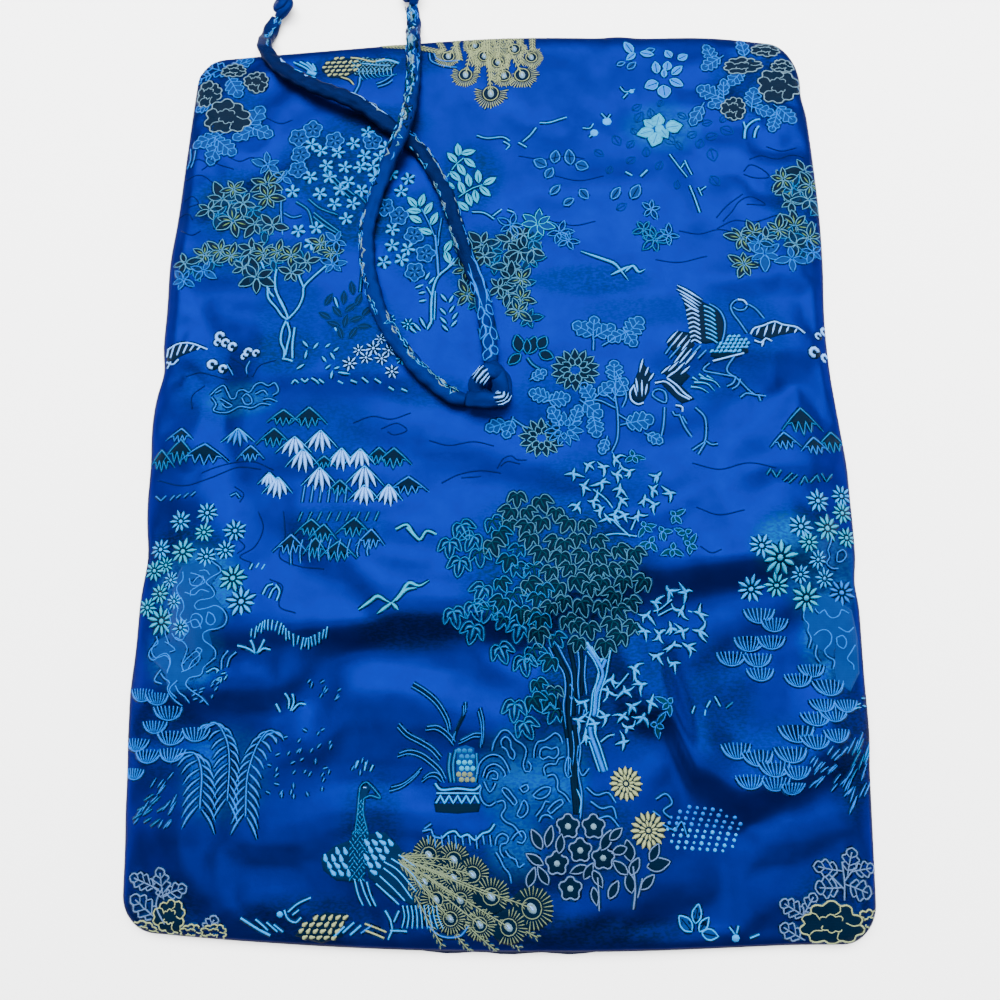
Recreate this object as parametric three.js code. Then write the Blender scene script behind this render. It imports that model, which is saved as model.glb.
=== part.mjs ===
// A brocade jewelry roll, laid open with its outer face up and its tie loose across it.
// Millimetres, +Z up. X runs across the roll, Y along its length, and the origin is
// on the surface it lies on, under the middle of the panel.

import * as THREE from "three";

// The panel's plan: a rectangle with round corners whose four sides all bow outwards
const PANEL = { halfWidth: 103.4, halfLength: 139.6, cornerRadius: 9, sideBow: 4.1, endBow: 4.4 };

// The layers, from the surface up
const LINING = { thickness: 1.0, inset: 0.5 };
const LAYER_GAP = 0.3;
const PADDING = { wall: 2.8, rimWall: 0.9, rollReach: 5.5 };

// Near the stitched edge a fold keeps only a share of its height
const FOLD_AT_SEAM = { share: 0.3, reach: 13 };

// How finely the padded panel is divided: rings along the edge, then even cells
const EDGE_RINGS = [0, 0.8, 2.2, 4.5, 8];
const OUTER_CELLS = { across: 20, along: 50 };
const LINING_CELLS = { across: 12, along: 18 };

// Folds of the slack outer face. The crest runs through the points [x, y], left to right.
// below is how far the steep face reaches towards -Y, above how far the easy one does,
// and fade is the length over which each end of the fold dies away.
const FOLDS = [
  { name: "main fold", height: 5.6, below: 7.5, above: 20, fade: 24,
    crest: [
      [-104, -54], [-78, -56], [-50, -54], [-22, -50], [4, -51], [24, -44], [44, -38], [64, -36], [108, -31],
    ] },
  { name: "left fold", height: 3.2, below: 6.5, above: 8, fade: 14,
    crest: [[-112, -75], [-88, -73], [-66, -71], [-46, -66]] },
  { name: "lower left arc", height: 2.8, below: 6.5, above: 10, fade: 14,
    crest: [[-76, -97], [-52, -87], [-38, -79], [-20, -80], [0, -83], [18, -80]] },
  { name: "lower right arc", height: 5.0, below: 7, above: 12, fade: 12,
    crest: [[30, -70], [46, -76], [56, -92], [68, -98], [80, -95], [92, -88], [112, -86]] },
  { name: "lower left corner", height: 2.2, below: 7, above: 9, fade: 12,
    crest: [[-112, -108], [-92, -109], [-74, -106]] },
  { name: "bottom swell", height: 2.6, below: 24, above: 12, fade: 30,
    crest: [[-104, -108], [-60, -109], [-20, -110], [20, -112], [64, -116]] },
  { name: "right crease", height: 2.4, below: 5.5, above: 8, fade: 12,
    crest: [[64, -11], [86, -8], [112, -10]] },
  { name: "left dent", height: 2.2, below: 6, above: 10, fade: 10,
    crest: [[-72, -10], [-57, -19], [-45, -34], [-28, -36]] },
  { name: "left crease", height: 1.4, below: 6, above: 7, fade: 10,
    crest: [[-112, 0], [-96, 0], [-80, 1]] },
  { name: "left lower crease", height: 1.4, below: 6, above: 7, fade: 12,
    crest: [[-112, -17], [-96, -16], [-76, -16]] },
  { name: "left middle swell", height: 1.5, below: 6, above: 12, fade: 16,
    crest: [[-86, 20], [-50, 23], [-16, 21]] },
  { name: "right middle swell", height: 1.5, below: 6, above: 12, fade: 16,
    crest: [[40, 29], [72, 29], [112, 28]] },
  { name: "right upper swell", height: 1.3, below: 6.5, above: 10, fade: 14,
    crest: [[52, 53], [80, 53], [112, 53]] },
  { name: "upper middle swell", height: 1.1, below: 6.5, above: 14, fade: 16,
    crest: [[-2, 84], [30, 83], [66, 85]] },
];

// Places where a fold pulls the edge in, or pushes it out where depth is negative. The pull
// dies away quickly from the edge, as this power of the share of the way out to it.
const PUCKER_FALL = 10;
const PUCKERS = [
  { edge: "left", at: 9, depth: 1.3, reach: 4 },
  { edge: "left", at: -36, depth: 1.4, reach: 9 },
  { edge: "left", at: 72, depth: 0.7, reach: 6 },
  { edge: "right", at: 42, depth: 1.8, reach: 20 },
  { edge: "right", at: 120, depth: 0.8, reach: 5 },
  { edge: "right", at: -18, depth: 0.9, reach: 5 },
  { edge: "right", at: -44, depth: 0.8, reach: 5 },
  { edge: "top", at: 43, depth: -0.7, reach: 5 },
  { edge: "bottom", at: 68, depth: 0.9, reach: 16 },
];

// The tie: a narrow sewn tube of the same brocade, held to the panel by a knot at its middle
const TIE = { width: 5.0, thickness: 3.0, sides: 10, clearance: 0.5, stepLength: 8, dropLead: 1 };
const TIE_KNOT = { x: -2.0, y: 15.8, turn: -0.96, length: 15, width: 11.5, height: 8.2 };
const END_KNOT = { length: 10, width: 8, height: 6.4 };
const KNOT_MESH = { around: 20, down: 12 };
const KNOT_WRAP = { depth: 0.09, turns: 2.2, lean: 0.5 };

// Each strand's middle line, from the knot to its free end: lift is how far it stands off
// what lies under it
const LEFT_STRAND = [
  { x: -1.0, y: 23.4, lift: 0.9 },
  { x: -1.2, y: 28, lift: 0.2 },
  { x: -1.8, y: 34, lift: 0 },
  { x: -3.6, y: 46, lift: 0 },
  { x: -7.6, y: 58, lift: 0 },
  { x: -11.6, y: 69, lift: 0 },
  { x: -15.0, y: 81, lift: 0 },
  { x: -19.6, y: 91.5, lift: 0 },
  { x: -25.0, y: 100, lift: 0 },
  { x: -30.5, y: 105.5, lift: 0 },
  { x: -37, y: 110.5, lift: 1.0 },
  { x: -45, y: 116, lift: 2.2 },
  { x: -56, y: 121.2, lift: 2.6 },
  { x: -67, y: 127, lift: 2.0 },
  { x: -75.5, y: 134.5, lift: 0.8 },
  { x: -79.8, y: 142.5, lift: 0.2 },
  { x: -80.4, y: 150, lift: 0 },
  { x: -77.6, y: 156.6, lift: 0 },
];
const RIGHT_STRAND = [
  { x: -8.4, y: 11.9, lift: 0.8 },
  { x: -11.2, y: 12.9, lift: 0.4 },
  { x: -14.4, y: 14.6, lift: 0.3 },
  { x: -20.4, y: 19.6, lift: 0.2 },
  { x: -26.4, y: 25.8, lift: 0.2 },
  { x: -31.6, y: 33.2, lift: 0.2 },
  { x: -36.2, y: 42, lift: 0 },
  { x: -39.6, y: 52, lift: 0 },
  { x: -41.3, y: 63, lift: 0 },
  { x: -41.2, y: 74, lift: 0 },
  { x: -38.8, y: 84.5, lift: 0 },
  { x: -35.0, y: 94, lift: 1.2 },
  { x: -31.0, y: 103, lift: 3.5 },
  { x: -28.8, y: 112, lift: 2.4 },
  { x: -27.9, y: 122, lift: 0.4 },
  { x: -27.8, y: 133, lift: 0 },
  { x: -27.9, y: 143, lift: 0.2 },
  { x: -28.6, y: 152, lift: 0 },
  { x: -29.4, y: 160, lift: 0 },
];

// A fold's crest is joined with a smooth step between its points
function smoothStep(share) {
  const held = Math.min(Math.max(share, 0), 1);
  return held * held * (3 - 2 * held);
}

function crestY(crest, x) {
  const last = crest.length - 1;
  if (x <= crest[0][0]) return crest[0][1];
  for (let index = 0; index < last; index += 1) {
    const [startX, startY] = crest[index];
    const [endX, endY] = crest[index + 1];
    if (x <= endX) return startY + (endY - startY) * smoothStep((x - startX) / (endX - startX));
  }
  return crest[last][1];
}

// How high the folds lift the outer face at a place in the panel
function foldHeight(x, y) {
  let height = 0;
  for (const fold of FOLDS) {
    const firstX = fold.crest[0][0];
    const lastX = fold.crest[fold.crest.length - 1][0];
    const ends = smoothStep((x - firstX) / fold.fade) * smoothStep((lastX - x) / fold.fade);
    const offset = y - crestY(fold.crest, x);
    const reach = offset < 0 ? fold.below : fold.above;
    height += fold.height * ends * Math.exp(-((offset / reach) ** 2));
  }
  return height;
}

// A place in the square-cornered panel, moved to its true plan: corners first, then the bowed sides
function planPoint(flatX, flatY) {
  const { halfWidth, halfLength, cornerRadius, sideBow, endBow } = PANEL;
  let x = flatX;
  let y = flatY;
  const pastX = Math.abs(flatX) - (halfWidth - cornerRadius);
  const pastY = Math.abs(flatY) - (halfLength - cornerRadius);
  if (pastX > 0 && pastY > 0) {
    const shrink = Math.max(pastX, pastY) / Math.hypot(pastX, pastY);
    x = Math.sign(flatX) * (halfWidth - cornerRadius + pastX * shrink);
    y = Math.sign(flatY) * (halfLength - cornerRadius + pastY * shrink);
  }
  const acrossShare = x / halfWidth;
  const alongShare = y / halfLength;
  x += sideBow * acrossShare * (1 - alongShare ** 2);
  y += endBow * alongShare * (1 - acrossShare ** 2);
  for (const pucker of PUCKERS) {
    const onSide = pucker.edge === "left" || pucker.edge === "right";
    const outward = pucker.edge === "left" || pucker.edge === "bottom" ? -1 : 1;
    const nearEdge = Math.max(outward * (onSide ? acrossShare : alongShare), 0) ** PUCKER_FALL;
    const pull = pucker.depth * nearEdge * Math.exp(-((((onSide ? y : x) - pucker.at) / pucker.reach) ** 2));
    if (onSide) x -= outward * pull;
    else y -= outward * pull;
  }
  return [x, y];
}

// How far a place lies inside the stitched edge
function insideEdge(flatX, flatY) {
  return Math.min(PANEL.halfWidth - Math.abs(flatX), PANEL.halfLength - Math.abs(flatY));
}

const FACE_BASE = LINING.thickness + LAYER_GAP;

// The outer face: a rounded roll at the edge, the padding's own thickness, then the folds
function faceHeight(flatX, flatY) {
  const inside = Math.max(insideEdge(flatX, flatY), 0);
  const rolled = 1 - Math.min(inside / PADDING.rollReach, 1);
  const padding = PADDING.rimWall + (PADDING.wall - PADDING.rimWall) * Math.sqrt(1 - rolled ** 2);
  const kept = FOLD_AT_SEAM.share + (1 - FOLD_AT_SEAM.share) * smoothStep(inside / FOLD_AT_SEAM.reach);
  return FACE_BASE + padding + foldHeight(flatX, flatY) * kept;
}

// The underside hangs one wall below the face, and never into the lining
function undersideHeight(flatX, flatY) {
  return Math.max(FACE_BASE, faceHeight(flatX, flatY) - PADDING.wall);
}

// Grid lines from one edge to the other, close together near both edges
function gridLines(half, rings, cells) {
  const innermost = rings[rings.length - 1];
  const lines = rings.map((ring) => ring - half);
  const span = 2 * (half - innermost);
  for (let cell = 1; cell < cells; cell += 1) lines.push(innermost - half + (span * cell) / cells);
  for (let ring = rings.length - 1; ring >= 0; ring -= 1) lines.push(half - rings[ring]);
  return lines;
}

// A closed panel between two height functions over the same grid
function panelGeometry(linesX, linesY, placeAt, topAt, bottomAt) {
  const across = linesX.length;
  const along = linesY.length;
  const layer = across * along;
  const positions = [];
  for (const heightAt of [topAt, bottomAt]) {
    for (const flatY of linesY) {
      for (const flatX of linesX) {
        const [x, y] = placeAt(flatX, flatY);
        positions.push(x, y, heightAt(flatX, flatY));
      }
    }
  }
  const triangles = [];
  const topVertex = (column, row) => row * across + column;
  for (let row = 0; row < along - 1; row += 1) {
    for (let column = 0; column < across - 1; column += 1) {
      const near = topVertex(column, row);
      const right = topVertex(column + 1, row);
      const far = topVertex(column + 1, row + 1);
      const left = topVertex(column, row + 1);
      const towardsCorner = (column < across / 2) === (row < along / 2);
      const halves = towardsCorner
        ? [[near, right, far], [near, far, left]]
        : [[near, right, left], [right, far, left]];
      for (const [first, second, third] of halves) {
        triangles.push(first, second, third);
        triangles.push(first + layer, third + layer, second + layer);
      }
    }
  }
  const rim = [];
  for (let column = 0; column < across - 1; column += 1) rim.push(topVertex(column, 0));
  for (let row = 0; row < along - 1; row += 1) rim.push(topVertex(across - 1, row));
  for (let column = across - 1; column > 0; column -= 1) rim.push(topVertex(column, along - 1));
  for (let row = along - 1; row > 0; row -= 1) rim.push(topVertex(0, row));
  rim.forEach((here, index) => {
    const next = rim[(index + 1) % rim.length];
    triangles.push(here, here + layer, next + layer);
    triangles.push(here, next + layer, next);
  });
  const geometry = new THREE.BufferGeometry();
  geometry.setAttribute("position", new THREE.Float32BufferAttribute(positions, 3));
  geometry.setIndex(triangles);
  geometry.computeVertexNormals();
  return geometry;
}

function outerPanel() {
  const linesX = gridLines(PANEL.halfWidth, EDGE_RINGS, OUTER_CELLS.across);
  const linesY = gridLines(PANEL.halfLength, EDGE_RINGS, OUTER_CELLS.along);
  return panelGeometry(linesX, linesY, planPoint, faceHeight, undersideHeight);
}

// The lining lies flat, cut a little inside the outer panel's edge
function liningPanel() {
  const linesX = gridLines(PANEL.halfWidth, [0, PANEL.cornerRadius / 2], LINING_CELLS.across);
  const linesY = gridLines(PANEL.halfLength, [0, PANEL.cornerRadius / 2], LINING_CELLS.along);
  const insetAt = (flatX, flatY) => {
    const [x, y] = planPoint(flatX, flatY);
    return [x * (1 - LINING.inset / PANEL.halfWidth), y * (1 - LINING.inset / PANEL.halfLength)];
  };
  return panelGeometry(linesX, linesY, insetAt, () => LINING.thickness, () => 0);
}

// What a loose strand lies on: the outer face inside the edge, the bare surface beyond it
function supportHeight(x, y) {
  const overTop = y - (PANEL.halfLength + PANEL.endBow * (1 - (x / PANEL.halfWidth) ** 2));
  const faceY = Math.min(y, PANEL.halfLength - PADDING.rollReach);
  const onFace = faceHeight(x, faceY);
  return onFace * (1 - smoothStep((overTop + TIE.dropLead) / TIE.stepLength));
}

// A strand's route keeps the flat tube's broad side down all the way
class LyingRoute extends THREE.CatmullRomCurve3 {
  computeFrenetFrames(steps) {
    const frames = { tangents: [], normals: [], binormals: [] };
    for (let step = 0; step <= steps; step += 1) {
      const tangent = this.getTangentAt(step / steps);
      const normal = new THREE.Vector3(0, 0, 1).addScaledVector(tangent, -tangent.z).normalize();
      frames.tangents.push(tangent);
      frames.normals.push(normal);
      frames.binormals.push(new THREE.Vector3().crossVectors(tangent, normal));
    }
    return frames;
  }
}

function strandGeometry(route) {
  const middle = TIE.thickness / 2 + TIE.clearance;
  const points = route.map(({ x, y, lift }) => new THREE.Vector3(x, y, supportHeight(x, y) + middle + lift));
  const path = new LyingRoute(points, false, "centripetal");
  const section = new THREE.Shape();
  for (let side = 0; side < TIE.sides; side += 1) {
    const angle = (2 * Math.PI * side) / TIE.sides;
    const up = (TIE.thickness / 2) * Math.cos(angle);
    const across = (TIE.width / 2) * Math.sin(angle);
    if (side === 0) section.moveTo(up, across);
    else section.lineTo(up, across);
  }
  section.closePath();
  const steps = Math.round(path.getLength() / TIE.stepLength);
  return new THREE.ExtrudeGeometry(section, { steps, extrudePath: path, bevelEnabled: false });
}

// A knot is a rounded lump with the grooves of the strand that wraps it
function knotGeometry({ length, width, height }) {
  const geometry = new THREE.SphereGeometry(1, KNOT_MESH.around, KNOT_MESH.down);
  const position = geometry.getAttribute("position");
  const point = new THREE.Vector3();
  for (let index = 0; index < position.count; index += 1) {
    point.fromBufferAttribute(position, index);
    const along = point.x - KNOT_WRAP.lean * point.y;
    const groove = KNOT_WRAP.depth * Math.cos(Math.PI * KNOT_WRAP.turns * along);
    point.multiplyScalar((1 - KNOT_WRAP.depth + groove) / 2);
    position.setXYZ(index, point.x * length, point.y * width, point.z * height);
  }
  return geometry;
}

const brocade = new THREE.MeshStandardMaterial({ color: 0x0a49b4, roughness: 0.42, metalness: 0 });
const liningCloth = new THREE.MeshStandardMaterial({ color: 0x0a1024, roughness: 0.8, metalness: 0 });
const tieBrocade = new THREE.MeshStandardMaterial({ color: 0x0b2f86, roughness: 0.45, metalness: 0 });

const roll = new THREE.Group();

function addMesh(name, geometry, material) {
  const mesh = new THREE.Mesh(geometry, material);
  mesh.name = name;
  roll.add(mesh);
  return mesh;
}

addMesh("lining_panel", liningPanel(), liningCloth);
addMesh("outer_panel", outerPanel(), brocade);

const tieKnot = addMesh("tie_knot", knotGeometry(TIE_KNOT), tieBrocade);
const knotSeat = faceHeight(TIE_KNOT.x, TIE_KNOT.y) + TIE.clearance;
tieKnot.position.set(TIE_KNOT.x, TIE_KNOT.y, knotSeat + TIE_KNOT.height / 2);
tieKnot.rotation.z = TIE_KNOT.turn;

// Each strand ends in a knot of its own, which carries on the way the strand was going
for (const { name, route } of [
  { name: "tie_left", route: LEFT_STRAND },
  { name: "tie_right", route: RIGHT_STRAND },
]) {
  addMesh(name, strandGeometry(route), tieBrocade);
  const tip = route[route.length - 1];
  const before = route[route.length - 2];
  const heading = Math.atan2(tip.y - before.y, tip.x - before.x);
  const endKnot = addMesh(`${name}_end_knot`, knotGeometry(END_KNOT), tieBrocade);
  const reach = END_KNOT.length / 2 + LAYER_GAP;
  endKnot.position.set(tip.x, tip.y, END_KNOT.height / 2);
  endKnot.translateOnAxis(new THREE.Vector3(Math.cos(heading), Math.sin(heading), 0), reach);
  endKnot.rotation.z = heading;
}

export default roll;
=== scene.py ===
# %% [markdown]
# # A brocade jewelry roll, opened flat
# The roll is a padded panel of blue silk brocade with a dark lining and a narrow tie. This lesson dresses
# its plain solids: a slack satin face with real folds, the garden woven into it thread by thread, and a tie
# that lies loose across it. Everything is worked out in millimetres and turned into metres at the end.

# %% Load the frame
import math

import bpy
import numpy as np
from mathutils import Matrix, Vector


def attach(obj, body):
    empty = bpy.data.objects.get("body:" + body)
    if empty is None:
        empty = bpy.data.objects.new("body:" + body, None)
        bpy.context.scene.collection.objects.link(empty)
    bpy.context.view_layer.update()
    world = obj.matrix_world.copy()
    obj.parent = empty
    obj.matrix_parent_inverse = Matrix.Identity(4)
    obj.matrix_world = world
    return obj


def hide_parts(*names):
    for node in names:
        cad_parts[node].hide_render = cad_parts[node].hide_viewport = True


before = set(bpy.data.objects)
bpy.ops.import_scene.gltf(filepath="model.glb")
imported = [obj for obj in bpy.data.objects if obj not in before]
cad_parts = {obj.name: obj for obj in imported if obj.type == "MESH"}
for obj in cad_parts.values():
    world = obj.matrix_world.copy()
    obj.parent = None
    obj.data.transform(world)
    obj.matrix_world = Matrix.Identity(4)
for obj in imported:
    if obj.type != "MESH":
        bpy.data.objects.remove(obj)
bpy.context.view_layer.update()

MM = 0.001
print("solids to dress:", sorted(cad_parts))

# %% [markdown]
# ## The camera
# The roll is seen from almost straight above it, a hand's breadth nearer to its lower end, so the lower end
# looks wider. A short lens close to the cloth gives that strong taper. The camera is turned by three
# directions of its own, with +Y as up, because the usual up of +Z means little when looking down.

# %% Place the camera
CAMERA_PLACE = Vector((9.0, -65.4, 229.5)) * MM
CAMERA_AIM = Vector((1.8, -18.6, 3.0)) * MM
CAMERA_LENS = 27.36

camera_data = bpy.data.cameras.new("roll_camera")
camera_data.lens = CAMERA_LENS
camera_data.clip_start = 0.01
camera = bpy.data.objects.new("roll_camera", camera_data)
bpy.context.collection.objects.link(camera)
look = (CAMERA_AIM - CAMERA_PLACE).normalized()
right = look.cross(Vector((0, 1, 0))).normalized()
upward = right.cross(look)
turn = Matrix((right, upward, -look)).transposed().to_4x4()
camera.matrix_world = Matrix.Translation(CAMERA_PLACE) @ turn
bpy.context.scene.camera = camera
print("camera at", [round(value, 3) for value in camera.location])

# %% [markdown]
# ## Charts
# Most of the roll is laid out one by one: the puckers of its hem, the route of its tie, and every leaf and
# feather of its garden. Such places could be typed as nested lists. Here a chart is a short plain text
# instead, because that is easier to read and to change: numbers and words with spaces between them, and a
# semicolon between two rows.

# %% Read a chart
def chart_value(word):
    if word.lstrip("-").isdigit():
        return int(word)
    return word if word.isalpha() else float(word)


def chart(text):
    """The rows of a chart, each a list of numbers and words."""
    return [[chart_value(word) for word in row.split()] for row in text.split(";")]


def strokes(text):
    """The lines of a chart. A row holds the places of one line in turn, x before y."""
    return [np.array(row.split(), dtype=float).reshape(-1, 2) for row in text.split(";")]


print("a chart of two rows:", chart("left 24 1.2; right 30 2.9"))

# %% [markdown]
# ## The panel's shape
# On the real roll the outer face is cut a little longer than the lining, so that it can go round the
# outside when it is rolled. Opened flat, the spare cloth lies in folds across the panel. The shape could be
# sculpted by hand. Here a short table gives each fold's crest and height, as the solids' own source does,
# so that the cloth stays where its solid is.

# %% Describe the panel and its folds
HALF_WIDTH, HALF_LENGTH = 103.4, 139.6
CORNER_RADIUS = 9.0
SIDE_BOW, END_BOW = 4.1, 4.4
LINING_THICK, LAYER_GAP = 1.0, 0.3
WALL, RIM_WALL, ROLL_REACH = 2.8, 0.9, 5.5
FACE_BASE = LINING_THICK + LAYER_GAP
SEAM_SHARE, SEAM_REACH = 0.3, 13.0

FOLDS = [
    # height, below, above, fade, crest points from left to right
    (5.6, 7.5, 20, 24, [
        (-104, -54), (-78, -56), (-50, -54), (-22, -50), (4, -51), (24, -44), (44, -38), (64, -36),
        (108, -31),
    ]),
    (3.2, 6.5, 8, 14, [(-112, -75), (-88, -73), (-66, -71), (-46, -66)]),
    (2.8, 6.5, 10, 14, [(-76, -97), (-52, -87), (-38, -79), (-20, -80), (0, -83), (18, -80)]),
    (5.0, 7, 12, 12, [(30, -70), (46, -76), (56, -92), (68, -98), (80, -95), (92, -88), (112, -86)]),
    (2.2, 7, 9, 12, [(-112, -108), (-92, -109), (-74, -106)]),
    (2.6, 24, 12, 30, [(-104, -108), (-60, -109), (-20, -110), (20, -112), (64, -116)]),
    (2.4, 5.5, 8, 12, [(64, -11), (86, -8), (112, -10)]),
    (1.5, 6, 10, 12, [(-62, -28), (-45, -33), (-28, -36)]),
    (1.4, 6, 7, 10, [(-112, 0), (-96, 0), (-80, 1)]),
    (1.4, 6, 7, 12, [(-112, -17), (-96, -16), (-76, -16)]),
    (1.5, 6, 12, 16, [(-86, 20), (-50, 23), (-16, 21)]),
    (1.5, 6, 12, 16, [(40, 29), (72, 29), (112, 28)]),
    (1.3, 6.5, 10, 14, [(52, 53), (80, 53), (112, 53)]),
    (1.1, 6.5, 14, 16, [(-2, 84), (30, 83), (66, 85)]),
]
PUCKER_FALL = 10
# edge, where along it, depth, reach
PUCKERS = chart("""
left 24 1.2 6; left -36 1.4 9; left 62 -0.9 12; left 8 -0.8 10; left -84 -0.9 16; right 30 2.9 30;
right 138 2 9; right 120 0.8 5; right -44 0.8 5; top 43 -0.7 5; top 10 -2.2 50; top 74 -2 22; bottom 100 -1 14
""")
print("folds:", len(FOLDS), "puckers:", len(PUCKERS))

# %% Shape the panel
def smooth_step(share):
    held = np.clip(share, 0, 1)
    return held * held * (3 - 2 * held)


def crest_line(crest, x):
    """A crest's y at each x, eased from point to point."""
    line = np.full_like(x, crest[0][1], dtype=float)
    for (start_x, start_y), (end_x, end_y) in zip(crest, crest[1:]):
        line += (end_y - start_y) * smooth_step((x - start_x) / (end_x - start_x))
    return line


def fold_height(x, y):
    """How far the folds lift the cloth. A fold is steeper on one side of its crest than on the other."""
    total = np.zeros_like(x, dtype=float)
    for height, below, above, fade, crest in FOLDS:
        ends = smooth_step((x - crest[0][0]) / fade) * smooth_step((crest[-1][0] - x) / fade)
        offset = y - crest_line(crest, x)
        reach = np.where(offset < 0, below, above)
        total += height * ends * np.exp(-((offset / reach) ** 2))
    return total


def inside_edge(flat_x, flat_y):
    """How far a place on the flat cloth lies inside the nearest edge."""
    return np.minimum(HALF_WIDTH - np.abs(flat_x), HALF_LENGTH - np.abs(flat_y))


def face_height(flat_x, flat_y):
    """The padding, rolled over at its rim, with the folds, which the seam holds down."""
    inside = np.maximum(inside_edge(flat_x, flat_y), 0)
    rolled = 1 - np.minimum(inside / ROLL_REACH, 1)
    padding = RIM_WALL + (WALL - RIM_WALL) * np.sqrt(1 - rolled**2)
    kept = SEAM_SHARE + (1 - SEAM_SHARE) * smooth_step(inside / SEAM_REACH)
    return FACE_BASE + padding + fold_height(flat_x, flat_y) * kept


def plan_point(flat_x, flat_y):
    """Where a place on the flat cloth is seen from above: round corners, bowed sides and puckers."""
    past_x = np.maximum(np.abs(flat_x) - (HALF_WIDTH - CORNER_RADIUS), 0)
    past_y = np.maximum(np.abs(flat_y) - (HALF_LENGTH - CORNER_RADIUS), 0)
    in_corner = (past_x > 0) & (past_y > 0)
    spread = np.where(in_corner, np.hypot(past_x, past_y), 1)
    shrink = np.where(in_corner, np.maximum(past_x, past_y) / spread, 1)
    x = flat_x - np.sign(flat_x) * past_x * (1 - shrink)
    y = flat_y - np.sign(flat_y) * past_y * (1 - shrink)
    across, along = x / HALF_WIDTH, y / HALF_LENGTH
    x = x + SIDE_BOW * across * (1 - along**2)
    y = y + END_BOW * along * (1 - across**2)
    for edge, where, depth, reach in PUCKERS:
        on_side = edge in ("left", "right")
        outward = -1 if edge in ("left", "bottom") else 1
        near = np.maximum(outward * (across if on_side else along), 0) ** PUCKER_FALL
        pull = outward * depth * near * np.exp(-((((y if on_side else x) - where) / reach) ** 2))
        if on_side:
            x = x - pull
        else:
            y = y - pull
    return x, y


middle_line = np.linspace(-HALF_LENGTH, HALF_LENGTH, 400)
middle_heights = face_height(np.zeros_like(middle_line), middle_line)
print("highest fold along the middle, mm:", round(float(middle_heights.max()), 2))

# %% [markdown]
# ## The tie's two strands
# The tie is a narrow tube sewn from the same brocade, caught to the panel by a knot at its middle. Each
# free end lies over the cloth, crosses the other, goes over the panel's edge and ends in a knot on the
# table. A strand could be a curve with a bevel. A mesh tube is used instead, because a sewn tube is flat,
# and wrinkles along its length. The routes are the solids' own points.

# %% Chart the strands
TIE_WIDTH, TIE_THICK = 5.0, 3.0
TIE_CLEARANCE, TIE_STEP, TIE_DROP_LEAD = 0.5, 8.0, 1.0
ROUTE_STEP = 1.2
# x, y, how far it stands off what lies under it
LEFT_STRAND = chart("""
-1 23.4 0.9; -1.2 28 0.2; -1.8 34 0; -3.6 46 0; -7.6 58 0; -11.6 69 0; -15 81 0; -19.6 91.5 0; -25 100 0;
-30.5 105.5 0; -37 110.5 1; -45 116 2.2; -56 121.2 2.6; -67 127 2; -75.5 134.5 0.8; -79.8 142.5 0.2;
-80.4 150 0; -77.6 156.6 0
""")
RIGHT_STRAND = chart("""
-8.4 11.9 0.8; -11.2 12.9 0.4; -14.4 14.6 0.3; -20.4 19.6 0.2; -26.4 25.8 0.2; -31.6 33.2 0.2; -36.2 42 0;
-39.6 52 0; -41.3 63 0; -41.2 74 0; -38.8 84.5 0; -35 94 1.2; -31 103 3.5; -28.8 112 2.4; -27.9 122 0.4;
-27.8 133 0; -27.9 143 0.2; -28.6 152 0; -29.4 160 0
""")
print("places on the strands:", len(LEFT_STRAND), len(RIGHT_STRAND))

# %% Lay the routes over the cloth
def support_height(x, y):
    """What lies under the tie: the face, and past the upper edge the table."""
    over_top = y - (HALF_LENGTH + END_BOW * (1 - (x / HALF_WIDTH) ** 2))
    on_face = face_height(x, np.minimum(y, HALF_LENGTH - ROLL_REACH))
    return on_face * (1 - smooth_step((over_top + TIE_DROP_LEAD) / TIE_STEP))


def through_points(points, spacing):
    """A smooth line through the points, with a point about every spacing."""
    points = np.asarray(points, dtype=float)
    padded = np.vstack([2 * points[0] - points[1], points, 2 * points[-1] - points[-2]])
    line = []
    for p0, p1, p2, p3 in zip(padded, padded[1:], padded[2:], padded[3:]):
        k1, k2, k3 = (max(np.linalg.norm(b - a), 1e-6) ** 0.5 for a, b in ((p0, p1), (p1, p2), (p2, p3)))
        m1 = ((p1 - p0) / k1 - (p2 - p0) / (k1 + k2) + (p2 - p1) / k2) * k2
        m2 = ((p2 - p1) / k2 - (p3 - p1) / (k2 + k3) + (p3 - p2) / k3) * k2
        count = max(int(np.linalg.norm(p2 - p1) / spacing), 1)
        t = (np.arange(count) / count)[:, None]
        line.append(
            (2 * t**3 - 3 * t**2 + 1) * p1 + (t**3 - 2 * t**2 + t) * m1
            + (3 * t**2 - 2 * t**3) * p2 + (t**3 - t**2) * m2
        )
    return np.vstack(line + [points[-1:]])


def strand_route(rows):
    x, y, lift = np.array(rows, dtype=float).T
    z = support_height(x, y) + TIE_THICK / 2 + TIE_CLEARANCE + lift
    return through_points(np.stack([x, y, z], axis=1), ROUTE_STEP)


def route_length(route):
    return float(np.linalg.norm(np.diff(route, axis=0), axis=1).sum())


left_route = strand_route(LEFT_STRAND)
right_route = strand_route(RIGHT_STRAND)
print("strands, mm:", round(route_length(left_route), 1), round(route_length(right_route), 1))

# %% [markdown]
# ## Meshes from arrays
# Thousands of threads are best made as plain arrays of points and faces, and handed to Blender in one go.
# This helper makes an object from millimetre points, gives it a material and lets it ride on the one body.

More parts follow.
